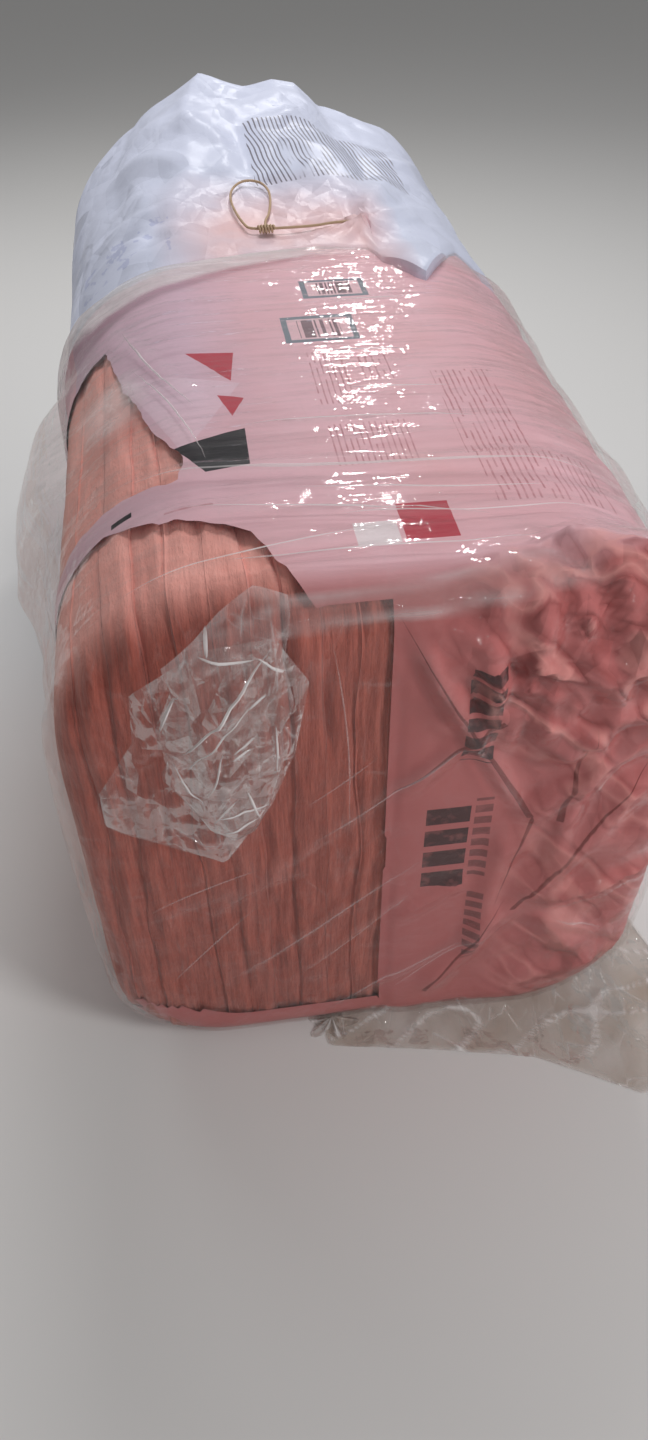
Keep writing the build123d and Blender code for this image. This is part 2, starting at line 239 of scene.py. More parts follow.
class BaleSizes(bpy.types.PropertyGroup):
    """Sizes that a user would change."""

    cell: bpy.props.FloatProperty(
        name="Film cell", description="Spacing of the films' grids", default=0.0055, min=0.003, unit="LENGTH")
    groove: bpy.props.FloatProperty(
        name="Groove", description="Depth between two slabs of wool", default=0.0028, min=0.0, unit="LENGTH")
    wander: bpy.props.FloatProperty(
        name="Wander", description="How far the slabs' joints stray", default=0.010, min=0.0, unit="LENGTH")
    crumple: bpy.props.FloatProperty(
        name="Crumple", description="Height of the white bag's folds", default=0.014, min=0.0, unit="LENGTH")
    flare: bpy.props.FloatProperty(
        name="Flare", description="How far the loose film stands out at the left", default=0.035, min=0.0,
        unit="LENGTH")


class BaleColours(bpy.types.PropertyGroup):
    """Colours that a user would change."""

    wool: bpy.props.FloatVectorProperty(
        name="Wool", description="Squeezed wool", subtype="COLOR", size=4, default=(0.90, 0.39, 0.31, 1))
    wool_deep: bpy.props.FloatVectorProperty(
        name="Deep wool", description="Wool between the layers", subtype="COLOR", size=4,
        default=(0.74, 0.25, 0.18, 1))
    sleeve: bpy.props.FloatVectorProperty(
        name="Sleeve", description="Printed sleeve", subtype="COLOR", size=4, default=(0.80, 0.47, 0.51, 1))
    white: bpy.props.FloatVectorProperty(
        name="White bag", description="White film", subtype="COLOR", size=4, default=(0.66, 0.69, 0.84, 1))
    cord: bpy.props.FloatVectorProperty(
        name="Cord", description="Draw cord", subtype="COLOR", size=4, default=(0.64, 0.48, 0.34, 1))


def curve_at(points, x):
    """Height of a line through the points, by their first number."""
    across, along = zip(*points)
    return np.interp(x, across, along)


def smooth(x, low, high):
    """Rises softly from 0 at low to 1 at high."""
    share = np.clip((x - low) / (high - low), 0, 1)
    return share * share * (3 - 2 * share)


# Lengths of the section's runs, from the middle of the bottom to the middle of the top
RUNS = np.array([HALF_WIDTH - FOOT, FOOT * math.pi / 2, HEIGHT - FOOT - SHOULDER, SHOULDER * math.pi / 2,
                 HALF_WIDTH - SHOULDER])
RUN_STARTS = np.concatenate([[0], np.cumsum(RUNS)])
GIRTH = 2 * RUN_STARTS[-1]


def section(u, inset, grow):
    """Across and up on the bale's section at share u of the girth, inset towards its middle."""
    u = np.mod(u, 1)
    travelled = np.minimum(u, 1 - u) * GIRTH
    run = np.clip(np.searchsorted(RUN_STARTS, travelled, side="right") - 1, 0, 4)
    share = (travelled - RUN_STARTS[run]) / RUNS[run]
    keep = 1 - inset / HALF_WIDTH
    half = HALF_WIDTH - inset + grow
    low, high = FLOOR + inset - grow, BALE_TOP - inset + grow
    foot, shoulder = FOOT * keep + grow, SHOULDER * keep + grow
    turn = share * math.pi / 2
    across = np.choose(run, [share * (half - foot), half - foot + foot * np.sin(turn), half,
                             half - shoulder + shoulder * np.cos(turn), (1 - share) * (half - shoulder)])
    wall = low + foot + share * (high - low - foot - shoulder)
    up = np.choose(run, [low, low + foot - foot * np.cos(turn), wall,
                         high - shoulder + shoulder * np.sin(turn), high])
    level = (up - FLOOR) / HEIGHT * 2 - 1
    across = across * (1 - SIDE_BULGE / HALF_WIDTH * level**2)
    up = up - CROWN * (across / HALF_WIDTH)**2 * np.clip(level, 0, 1)
    return np.where(u < 0.5, -across, across), up


def profile(t, near, far, ease):
    """Inset and place along the bale at distance t from the middle of the near end."""
    flat = HALF_WIDTH - ease
    bend = ease * math.pi / 2
    length = near + far - 2 * ease
    turn_near = np.clip((t - flat) / ease, 0, math.pi / 2)
    turn_far = np.clip((t - flat - bend - length) / ease, 0, math.pi / 2)
    inset = np.where(t < flat, HALF_WIDTH - t, ease * (1 - np.sin(turn_near)))
    inset = inset + ease * (1 - np.cos(turn_far)) + np.clip(t - flat - 2 * bend - length, 0, flat)
    along = ease * (1 - np.cos(turn_near)) + np.clip(t - flat - bend, 0, length) + ease * np.sin(turn_far)
    return inset, along - near


class Wrap:
    """A closed skin round the bale, a little larger than the stack, that films are laid on."""

    def __init__(self, grow, far=HALF_LENGTH, ease=END_EASE):
        self.grow, self.ease = grow, ease
        self.near, self.far = HALF_LENGTH + grow, far + grow
        self.side_start = HALF_WIDTH - ease + ease * math.pi / 2
        self.total = 2 * self.side_start + self.near + self.far - 2 * ease

    def along(self, y):
        """The distance t at which the sides reach the place y."""
        return self.side_start + y + self.near - self.ease

    def point(self, u, t):
        """The skin's point at u and t."""
        inset, along = profile(t, self.near, self.far, self.ease)
        across, up = section(u, inset, self.grow)
        return np.stack([across, along + 0 * across, up], axis=-1)

    def normal(self, u, t, step=0.0008):
        """The outward direction there."""
        t = np.clip(t, 3 * step, self.total - 3 * step)
        round_it = self.point(u + step, t) - self.point(u - step, t)
        along_it = self.point(u, t + step) - self.point(u, t - step)
        normal = np.cross(round_it, along_it)
        return normal / np.maximum(np.linalg.norm(normal, axis=-1, keepdims=True), 1e-12)


SLEEVE_SKIN = Wrap(0.0012)
CLEAR_SKIN = Wrap(0.0018)
WHITE_SKIN = Wrap(0.0022, far=WHITE_REACH - 0.008, ease=0.085)


def share_across(x):
    """The share of the girth at which the top of the section is at x across."""
    table = np.linspace(0.2, 0.8, 1201)
    across, up = section(table, 0.0, 0.0)
    upper = up > FLOOR + HEIGHT * 0.6
    return np.interp(x, across[upper], table[upper])


def share_left(z):
    """The share of the girth at which the left side is at height z."""
    table = np.linspace(0.0, 0.5, 1001)
    return np.interp(z, section(table, 0.0, 0.0)[1], table)


def round_the_girth(u, line, low):
    """Place along the bale of a line that is given across the top and runs down to low at the bottom."""
    across, up = section(u, 0.0, 0.0)
    return low + (curve_at(line, across) - low) * smooth(up - FLOOR, 0.10, HEIGHT * 0.7)


def lumps(points, size, seed):
    """Soft noise from -1 to 1 at each point, with lumps of the given size along each axis."""
    scaled = points / np.asarray(size) + seed * 7.31
    values = [noise.noise(Vector(p)) for p in scaled.reshape(-1, 3)]
    return np.array(values).reshape(points.shape[:-1])


def ridges(points, size, seed):
    """Noise from 0 to 1 with sharp ridges."""
    return 1 - np.abs(lumps(points, size, seed)) * 2.2


def facets(points, size, seed):
    """Noise from 0 to 1 whose flat cells meet in sharp folds, like crushed film."""
    warp = 0.35 * lumps(points, np.asarray(size) * 1.5, seed + 3)
    scaled = points / np.asarray(size) + seed * 5.17 + warp[..., None]
    values = [noise.voronoi(Vector(p), distance_metric="DISTANCE")[0][0] for p in scaled.reshape(-1, 3)]
    return np.clip(np.array(values), 0, 1).reshape(points.shape[:-1])


def crinkles(points, size, seed, count=6):
    """Crossing folds with flat sides and sharp straight edges, from about -1 to 1."""
    dice = np.random.default_rng(seed)
    total = np.zeros(points.shape[:-1])
    for number in range(count):
        way = dice.normal(size=3)
        way = way / np.linalg.norm(way) / (size * (0.75 + 0.7 * dice.random()))
        wave = points @ way + 0.45 * lumps(points, size * 2.5, seed + number)
        strength = np.clip(2.2 * lumps(points, size * 1.9, seed + number + 40) + 0.45, 0, 1)
        total += (np.abs(np.mod(wave, 1) * 2 - 1) - 0.5) * strength
    return total * 1.6 / math.sqrt(count)


def fold(a, b, start, end, width, fade=0.18):
    """A tent-shaped fold from 0 to 1 along a straight line from start to end, in the plane of a and b."""
    run = np.subtract(end, start)
    length = np.hypot(*run)
    share = ((a - start[0]) * run[0] + (b - start[1]) * run[1]) / length**2
    off = np.abs((a - start[0]) * run[1] - (b - start[1]) * run[0]) / length
    ends = np.clip(np.minimum(share, 1 - share) / fade, 0, 1)
    return np.clip(1 - off / width, 0, 1) * ends


def active():
    """The object that the last operator made or left active."""
    return bpy.context.view_layer.objects.active


def select_only(piece):
    """Selects one object alone and makes it active."""
    bpy.ops.object.select_all(action="DESELECT")
    piece.select_set(True)
    bpy.context.view_layer.objects.active = piece


def edit(piece, *steps):
    """Runs edit operators on one object."""
    select_only(piece)
    bpy.ops.object.mode_set(mode="EDIT")
    for step in steps:
        step()
    bpy.ops.object.mode_set(mode="OBJECT")


def grid(name, columns, rows):
    """A flat grid object, and its corners' shares from 0 to 1 along both sides, as row by column tables."""
    bpy.ops.object.select_all(action="DESELECT")
    bpy.ops.mesh.primitive_grid_add(x_subdivisions=columns, y_subdivisions=rows, size=2)
    piece = active()
    piece.name = piece.data.name = name
    corners = np.empty(len(piece.data.vertices) * 3, np.float32)
    piece.data.vertices.foreach_get("co", corners)
    corners = (corners.reshape(rows + 1, columns + 1, 3) + 1) / 2
    return piece, corners[..., 0].astype(float), corners[..., 1].astype(float)


def move_corners(piece, points):
    """Puts the object's corners at the points."""
    piece.data.vertices.foreach_set("co", np.asarray(points, np.float32).ravel())
    piece.data.update()


def paint(piece, name, values):
    """Stores one number for each corner under a name that materials read."""
    attribute = piece.data.attributes.new(name, "FLOAT", "POINT")
    attribute.data.foreach_set("value", np.asarray(values, np.float32).ravel())


def delete_faces(piece, marks):
    """Deletes the marked faces, and corners that no face uses."""
    edit(piece, lambda: bpy.ops.mesh.select_all(action="DESELECT"))
    piece.data.polygons.foreach_set("select", np.asarray(marks, bool).ravel())
    edit(piece, lambda: bpy.ops.mesh.select_mode(type="FACE"), lambda: bpy.ops.mesh.delete(type="FACE"),
         lambda: bpy.ops.mesh.select_mode(type="VERT"))


def weld(piece, distance=1e-5):
    """Joins corners that lie together."""
    edit(piece, lambda: bpy.ops.mesh.select_all(action="SELECT"),
         lambda: bpy.ops.mesh.remove_doubles(threshold=distance))


def face_outwards(piece):
    """Turns the faces of closed shells outwards."""
    edit(piece, lambda: bpy.ops.mesh.select_all(action="SELECT"),
         lambda: bpy.ops.mesh.normals_make_consistent(inside=False))


def join(pieces, name):
    """Joins the objects into one."""
    bpy.ops.object.select_all(action="DESELECT")
    for piece in pieces:
        piece.select_set(True)
    bpy.context.view_layer.objects.active = pieces[0]
    bpy.ops.object.join()
    joined = active()
    joined.name = joined.data.name = name
    return joined


def shade_smooth(piece, angle=None):
    """Smooth shading, with edges sharper than the angle kept, if one is given."""
    select_only(piece)
    if angle is None:
        bpy.ops.object.shade_smooth()
    else:
        bpy.ops.object.shade_smooth_by_angle(angle=math.radians(angle))


def inside(a, b, outline):
    """Marks the points that lie in a closed outline."""
    found = np.zeros(a.shape, bool)
    for (a0, b0), (a1, b1) in zip(outline, outline[1:] + outline[:1]):
        crosses = (b0 > b) != (b1 > b)
        found ^= crosses & (a < (a1 - a0) * (b - b0) / (b1 - b0 + 1e-12) + a0)
    return found


def ragged(outline, step, amount, seed):
    """The closed outline cut into short steps that stray sideways, like torn film."""
    rough = []
    for index, (start, end) in enumerate(zip(outline, outline[1:] + outline[:1])):
        run = np.subtract(end, start)
        count = max(1, int(np.hypot(*run) / step))
        side = np.array([-run[1], run[0]]) / max(np.hypot(*run), 1e-9)
        for number in range(count):
            stray = amount * noise.noise(Vector((number * 0.77, index * 3.1, seed))) * (number > 0)
            rough.append(tuple(start + run * number / count + side * stray))
    return rough


def nearest(a, b, outline):
    """The nearest point of a closed outline to each point."""
    best = np.full(a.shape, 1e9)
    near_a, near_b = a.copy(), b.copy()
    for start, end in zip(outline, outline[1:] + outline[:1]):
        run = np.subtract(end, start)
        share = ((a - start[0]) * run[0] + (b - start[1]) * run[1]) / max(run @ run, 1e-15)
        share = np.clip(share, 0, 1)
        at_a, at_b = start[0] + share * run[0], start[1] + share * run[1]
        off = np.hypot(a - at_a, b - at_b)
        closer = off < best
        best = np.where(closer, off, best)
        near_a, near_b = np.where(closer, at_a, near_a), np.where(closer, at_b, near_b)
    return near_a, near_b


def rim_corners(gone):
    """Marks the grid's corners that lie between faces that stay and faces that go."""
    wide = np.pad(gone.astype(int), 1, mode="edge")
    around = wide[1:, 1:] + wide[:-1, 1:] + wide[1:, :-1] + wide[:-1, :-1]
    return (around > 0) & (around < 4)


def centre(table):
    """Middle of each cell of a table of corner values."""
    return (table[1:, 1:] + table[:-1, 1:] + table[1:, :-1] + table[:-1, :-1]) / 4


# Wool


def slab_outline(w, x, inset):
    """Along and up round the outline of the stack's slice at x, at share w of the way round."""
    side = np.minimum(np.abs(x), HALF_WIDTH)
    over = np.maximum(side - (HALF_WIDTH - SHOULDER), 0)
    under = np.maximum(side - (HALF_WIDTH - FOOT), 0)
    top = BALE_TOP - SHOULDER + np.sqrt(SHOULDER**2 - over**2) - CROWN * (side / HALF_WIDTH)**2 - inset
    low = FLOOR + FOOT - np.sqrt(FOOT**2 - under**2) + inset
    depth = np.minimum(HALF_WIDTH - side, END_EASE)
    half = HALF_LENGTH - END_EASE + np.sqrt(END_EASE**2 - (END_EASE - depth)**2) - inset
    radius = np.minimum(END_EASE, (top - low) / 2)
    turn = math.pi / 2 * radius
    long_run, tall_run = 2 * (half - radius), top - low - 2 * radius
    goal = w * (2 * long_run + 2 * tall_run + 4 * turn)
    along, up = np.zeros_like(goal), np.zeros_like(goal)
    pieces = [(long_run, half - radius, low, -1, 0), (tall_run, -half, low + radius, 0, 1),
              (long_run, radius - half, top, 1, 0), (tall_run, half, top - radius, 0, -1)]
    middles = [(radius - half, low + radius), (radius - half, top - radius), (half - radius, top - radius),
               (half - radius, low + radius)]
    start = np.zeros_like(goal)
    for quarter, ((run, y, z, dy, dz), (my, mz)) in enumerate(zip(pieces, middles)):
        here = (goal >= start - 1e-9)
        step = np.clip(goal - start, 0, run)
        along, up = np.where(here, y + dy * step, along), np.where(here, z + dz * step, up)
        start = start + run
        here = goal >= start
        angle = -math.pi / 2 * (quarter + 1) - np.clip(goal - start, 0, turn) / radius
        along = np.where(here, my + radius * np.cos(angle), along)
        up = np.where(here, mz + radius * np.sin(angle), up)
        start = start + turn
    return along, up


def joint_place(index, along, up):
    """How far the joint between two slabs strays across there."""
    if index in (0, SLAB_COUNT):
        return np.zeros_like(along)
    points = np.stack([along, up, np.full_like(along, index * 0.37)], axis=-1)
    return 0.7 * lumps(points, (0.17, 0.17, 1), 1) + 0.35 * lumps(points, (0.06, 0.06, 1), 2)


def make_slab(index, sizes):
    """One slab of wool: a crowned rim all round, with deeper joints to its neighbours, and closed sides."""
    crown = [(0, 0, 0), (0.2, 0.02, 0), (0.4, 0.08, 0), (0.6, 0.2, 0), (0.8, 0.45, 0), (0.93, 0.75, 0),
             (1, 1, 0), (1, 1, 0.03)]
    rim = [(-share, groove, wall) for share, groove, wall in reversed(crown[1:])] + crown
    outer = [(-1, 0, reach) for reach in (0.17, 0.13, 0.10, 0.075, 0.05, 0.03, 0.012)]
    outer += [(share, 0, 0) for share in (-1, -0.985, -0.95, -0.88, -0.78, -0.6, -0.35)]
    if index == 0:
        rim = outer + crown
    if index == SLAB_COUNT - 1:
        rim = rim[:len(crown)] + [(-share, groove, wall) for share, groove, wall in reversed(outer)]
    piece, w = grid(f"slab_{index:02d}", SLAB_COLUMNS, len(rim) - 1)[:2]
    share, groove, wall = [column[:, None] + 0 * w for column in np.array(rim, float).T]
    x = (index - (SLAB_COUNT - 1) / 2) * (SLAB_THICKNESS + SLAB_GAP) + share * SLAB_THICKNESS / 2
    has_neighbour = ((index > 0) | (share > 0)) & ((index < SLAB_COUNT - 1) | (share < 0))
    x = x + np.where(np.abs(share) == 1, np.sign(share) * WALL_BULGE, 0.0) * has_neighbour
    rough_along, rough_up = slab_outline(w, x, 0 * w)
    place = np.stack([x, rough_along, rough_up], axis=-1)
    joint = index + (share > 0)
    depth = sizes.groove * (0.8 + 1.1 * lumps(np.stack([joint * 0.9, rough_along, rough_up], -1),
                                                (1, 0.16, 0.16), 5))
    covered_joint = np.abs((joint - SLAB_COUNT / 2) * SLAB_THICKNESS - FACE_TEAR_EDGE) < SLAB_THICKNESS / 4
    depth = depth * np.where(covered_joint & (rough_along < -HALF_LENGTH + 0.03), 0.2, 1.0)
    inset = groove * np.maximum(depth, 0.0015) + wall
    tufts = 0.0042 * lumps(place, (0.013, 0.11, 0.11), 8) + 0.0026 * lumps(place, (0.010, 0.03, 0.03), 9)
    crest = 0.0016 * (1 + math.sin(index * 2.4))
    inset = inset + np.where(wall > 0, 0.004, 0.0026 + crest * (np.abs(share) < 1) - tufts)
    along, up = slab_outline(w, x, inset)
    mix = (share + 1) / 2
    stray = joint_place(index, along, up) * (1 - mix) + joint_place(index + 1, along, up) * mix
    tail = ((index == 0) & (share == -1)) | ((index == SLAB_COUNT - 1) & (share == 1))
    sag = np.where(tail, 0.004 * lumps(np.stack([x, along, up], -1), (1, 0.07, 0.05), 12) + 0.002, 0)
    across = x + stray * sizes.wander + sag * (1 if index == 0 else -1)
    move_corners(piece, np.stack([across, along, up], axis=-1))
    weld(piece)
    edit(piece, lambda: bpy.ops.mesh.select_all(action="DESELECT"),
         lambda: bpy.ops.mesh.select_non_manifold(extend=False),
         lambda: bpy.ops.mesh.edge_face_add())
    return piece


class BALE_OT_batts(bpy.types.Operator):
    """Builds the squeezed slabs of wool"""

    bl_idname = "bale.batts"
    bl_label = "Batts"

    def execute(self, context):
        sizes, colours = context.scene.bale_sizes, context.scene.bale_colours
        slabs = [make_slab(index, sizes) for index in range(SLAB_COUNT)]
        batts = join(slabs, "wool_batts")
        face_outwards(batts)
        shade_smooth(batts, 70)
        batts.data.materials.append(wool_material(colours))
        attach(batts, "root")
        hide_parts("batts")
        return {"FINISHED"}


# Films


def facing(normal):
    """How much a film's points face up, to the near end and to the left, each from 0 to 1."""
    return (smooth(normal[..., 2], 0.35, 0.85), smooth(-normal[..., 1], 0.5, 0.95),
            smooth(-normal[..., 0], 0.35, 0.85))


def off_spot(x, y, spot, wide, long):
    """How far off a spot each point lies, where 1 is the rim of an oval of that half width and length."""
    return np.hypot((x - spot[0]) / wide, (y - spot[1]) / long)


def settle(rise, y, normal, covered, below):
    """Presses a film down where the white bag covers it, and where the bale's weight rests on it."""
    rise = rise + (covered - rise) * smooth(y, 0.02, 0.06)
    return rise + (below - rise) * smooth(-normal[..., 2], 0.55, 0.95)


def sleeve_rise(points, normal):
    """How far the sleeve stands off the wool, and how crushed it is there."""
    x, y, z = np.moveaxis(points, -1, 0)
    near, left = facing(normal)[1:]
    rise = 0.0016 + 0.0012 * lumps(points, (0.22, 0.035, 0.2), 20)
    rise = rise + 0.0007 * ridges(points, (0.16, 0.014, 0.1), 21)
    corner = smooth(-np.linalg.norm((points - CORNER_AT) / CORNER_REACH, axis=-1), -1.15, -0.55)
    crushed = 0.016 + 0.022 * crinkles(points, 0.060, 22) + 0.015 * crinkles(points, 0.030, 23)
    rise = rise + corner * np.maximum(crushed, 0.0005)
    for start, end, width, height in SLEEVE_FACE_FOLDS:
        rise = rise + near * 1.3 * height * fold(x, z, start, end, width)
    right_half = smooth(x, 0.08, 0.17)
    slanted = np.stack([(x * 0.75 + z * 0.66) * 0.45, 0 * x, z * 0.75 - x * 0.66], -1)
    rise = rise + near * right_half * np.maximum(0.007 + 0.012 * crinkles(slanted, 0.085, 24) +
                                                 0.005 * crinkles(points, 0.045, 25), 0)
    rise = rise * (1 - 0.85 * near * smooth(-x, -0.030, -0.004))
    side = smooth(normal[..., 0], 0.4, 0.9) + left * smooth(y, -0.06, 0.02)
    upright = points * (1, 1, 0.35)
    rise = rise + side * (0.003 * (lumps(points, (0.1, 0.10, 0.30), 26) + 0.6) +
                          0.0040 * np.maximum(0.4 + crinkles(upright, 0.075, 27), 0))
    rise = rise - 0.0022 * near * smooth(-x, -0.014, -0.002)
    crush = np.clip(corner + 0.62 * near * right_half, 0, 1) * (1 - smooth(-normal[..., 2], 0.3, 0.8))
    crush = crush + 0.16 * side
    return settle(np.maximum(rise, -0.0016), y, normal, 0.0008, 0.0002), crush


def make_sleeve(sizes):
    """The printed sleeve: a skin round the whole bale with its torn openings cut out."""
    skin = SLEEVE_SKIN
    columns = int(GIRTH / sizes.cell)
    near_rows = int(skin.along(SLEEVE_FINE_TO) / sizes.cell)
    piece, u = grid("printed_sleeve", columns, near_rows + SLEEVE_COARSE_ROWS)[:2]
    shares = np.arange(near_rows + SLEEVE_COARSE_ROWS + 1)
    reach = skin.along(SLEEVE_FINE_TO)
    t = np.where(shares <= near_rows, reach * shares / near_rows,
                 reach + (skin.total - reach) * (shares - near_rows) / SLEEVE_COARSE_ROWS)[:, None] + 0 * u

    foot = share_left(TEAR_FOOT) * GIRTH

    def spot(x, y):
        return share_across(x) * GIRTH, skin.along(y)

    far_outline = [(foot, skin.along(FAR_TEAR[0][1]))] + [spot(*place) for place in FAR_TEAR]
    far_outline.append((foot, skin.along(FAR_TEAR[-1][1])))
    near_outline = [(foot, skin.along(NEAR_TEAR[0][1]))] + [spot(*place) for place in NEAR_TEAR]
    brink = skin.side_start - skin.ease * 0.9
    near_outline += [(near_outline[-1][0] + 0.010, brink), (foot, brink)]
    outlines = [ragged(far_outline, 0.010, 0.005, 1), ragged(near_outline, 0.010, 0.005, 2)]

    gone = np.zeros((t.shape[0] - 1, t.shape[1] - 1), bool)
    length, along = u * GIRTH, t.copy()
    for outline in outlines:
        cut = inside(centre(u) * GIRTH, centre(t), outline)
        rim = rim_corners(cut)
        near_a, near_b = nearest(length, along, outline)
        u, t = np.where(rim, near_a / GIRTH, u), np.where(rim, near_b, t)
        gone |= cut
    rest = skin.point(u, t)
    middle = np.stack([centre(rest[..., i]) for i in range(3)], -1)
    foot_line = HALF_WIDTH - skin.ease - 0.010
    limit = foot_line + (brink + 0.004 - foot_line) * smooth(section(u, 0.0, 0.0)[1], 0.02, 0.12)
    face_cut = (centre(t) < centre(limit)) & (middle[..., 0] < FACE_TEAR_EDGE)
    on_edge = rim_corners(face_cut) & (np.abs(rest[..., 0] - FACE_TEAR_EDGE) < 0.02)
    rest[..., 0] = np.where(on_edge, FACE_TEAR_EDGE, rest[..., 0])
    gone |= face_cut
    normal = skin.normal(u, t)
    rise, crush = sleeve_rise(rest, normal)
    rest[0, :, 0] = 0.0
    move_corners(piece, rest + normal * rise[..., None])
    paint(piece, "crush", crush)
    delete_faces(piece, gone)
    weld(piece)
    return piece


class BALE_OT_sleeve(bpy.types.Operator):
    """Builds the torn printed sleeve"""

    bl_idname = "bale.sleeve"
    bl_label = "Printed sleeve"

    def execute(self, context):
        sizes, colours = context.scene.bale_sizes, context.scene.bale_colours
        sleeve = make_sleeve(sizes)
        shade_smooth(sleeve, 60)
        sleeve.data.materials.append(sleeve_material(colours))
        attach(sleeve, "root")
        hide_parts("sleeve")
        return {"FINISHED"}


def outline_depth(a, b, outline):
    """How far inside a closed outline each point lies, negative outside."""
    near_a, near_b = nearest(a, b, outline)
    off = np.hypot(a - near_a, b - near_b)
    return np.where(inside(a, b, outline), off, -off)


def clear_rise(points, normal, sizes):
    """How far the clear film stands off the wool, and how milky and how crushed it is there."""
    x, y, z = np.moveaxis(points, -1, 0)
    top, near, left = facing(normal)
    rise = sleeve_rise(points, normal)[0] + 0.0022
    bands = smooth(-np.abs(y + 0.43), -0.13, -0.02) + smooth(-np.abs(y + 0.12), -0.10, -0.01) * 0.6
    rise = rise + top * (0.0016 * (0.4 + bands) * ridges(points, (0.35, 0.017, 0.3), 30) +
                         0.0030 * (lumps(points, (0.30, 0.05, 0.3), 31) + 0.5))
    creases = np.zeros_like(x)
    for side, second, folds in ((top, y, CLEAR_TOP_FOLDS), (near, z, CLEAR_FACE_FOLDS)):
        for start, end, width, height in folds:
            line = side * fold(x, second, start, end, width)
            rise, creases = rise + height * line, np.maximum(creases, line)
    rise = rise + near * 0.004 * (lumps(points, (0.10, 0.1, 0.14), 33) + 0.5)
    depth = outline_depth(x, z, EAR_OUTLINE)
    ear = near * smooth(depth, -0.004, 0.026)
    rise = rise + ear * 0.004 * (1 + crinkles(points, 0.06, 34))
    side_flare = smooth(-np.abs(y - FLARE_AT[0]), -0.262, -0.05)
    side_flare = side_flare * smooth(-np.abs(z - FLARE_AT[1]), -0.225, -0.02)
    hanging = smooth(-np.abs(y - HANGING_AT[0]), -0.190, -0.05)
    hanging = hanging * smooth(-np.abs(z - HANGING_AT[1]), -0.090, -0.03)
    rise = rise + left * (side_flare * sizes.flare * (0.85 + 0.25 * lumps(points, (0.1, 0.09, 0.5), 36)) +
                          HANGING_OUT * hanging)
    side = smooth(normal[..., 0], 0.4, 0.9)
    rise = rise + (side + left) * 0.004 * (ridges(points, (0.2, 0.06, 0.30), 37) + 0.4)
    patch = smooth(-off_spot(x, y, MILKY_PATCH_AT, 0.040, 0.075), -1.0, -0.3)
    milk_and_highlight = 0.008 + 0.05 * creases + 0.09 * left * side_flare + 0.34 * patch
    crush = 0.10 + 0.4 * ear + 0.15 * near * smooth(-x, -0.06, 0.02) + 0.25 * left + 0.3 * patch + 0.35 * side
    return np.maximum(rise, 0.002), milk_and_highlight, crush


def folded_over(x, off):
    """Height and milkiness of the film that is folded double along the near top edge."""
    ends = smooth(x, -0.185, -0.120) * smooth(-x, -0.170, -0.110)
    band = np.interp(off, [-0.012, -0.008, -0.001, 0.007, 0.015], [0, 0.85, 1, 0.4, 0]) * ends
    lines = np.exp(-((off + 0.010) / 0.0025)**2) + 0.8 * np.exp(-((off - 0.010) / 0.0025)**2)
    lines = lines * ends * (1 - 0.5 * smooth(x, 0.02, 0.12))
    return 0.0075 * band, 0.10 * smooth(band, 0.05, 0.5) + 0.26 * lines


def make_clear_bag(sizes):
    """The clear bag: a skin from the middle of the near end to its mouth, under the white bag's."""
    skin = CLEAR_SKIN
    columns = int(GIRTH / sizes.cell)
    rows = int(skin.along(CLEAR_TO) / sizes.cell)
    piece, u, v = grid("clear_film", columns, rows)
    hem_start = skin.along(round_the_girth(u, HEM_LINE, HEM_BELOW))
    end = skin.along(np.maximum(round_the_girth(u, WHITE_MOUTH, WHITE_MOUTH_BELOW), 0.03) + 0.014)
    start = skin.side_start
    split = start / skin.along(CLEAR_TO)
    t = np.where(v < split, v / split * start, start + (v - split) / (1 - split) * (end - start))
    rest = skin.point(u, t)
    normal = skin.normal(u, t)
    rise, milk_and_highlight, crush = clear_rise(rest, normal, sizes)
    fold_rise, fold_milk = folded_over(rest[..., 0], t - start - curve_at(FOLD_LINE, rest[..., 0]))
    upper = rest[..., 2] > FLOOR + HEIGHT * 0.7
    rise, milk_and_highlight = rise + fold_rise * upper, milk_and_highlight + fold_milk * upper
    hem = smooth(t - hem_start, -0.003, 0.006)
    milk_and_highlight = milk_and_highlight + hem * (0.40 * smooth(-rest[..., 0], -0.10, 0.02) + 0.12)
    rise = settle(rise + hem * 0.0012, rest[..., 1], normal, 0.0022, 0.0004)
    rest[0, :, 0] = 0.0
    move_corners(piece, rest + normal * rise[..., None])
    paint_film(piece, milk_and_highlight, crush, 0 * milk_and_highlight)
    weld(piece)
    return piece


def paint_film(piece, milk_and_highlight, crush, deep):
    """Stores how milky the clear film is, painted highlights included, and how crushed and how deeply tinted
    it is at each corner.
    """
    paint(piece, "milk_and_highlight", milk_and_highlight)
    paint(piece, "crush", crush)
    paint(piece, "deep", deep)


def strip(name, columns, rows, shape):
    """A grid whose corners go where shape puts them, by their shares along and across it."""
    piece, a, b = grid(name, columns, rows)
    points, milk_and_highlight, crush, deep = shape(a, b)
    move_corners(piece, points)
    paint_film(piece, milk_and_highlight, crush, deep + 0 * milk_and_highlight)
    return piece


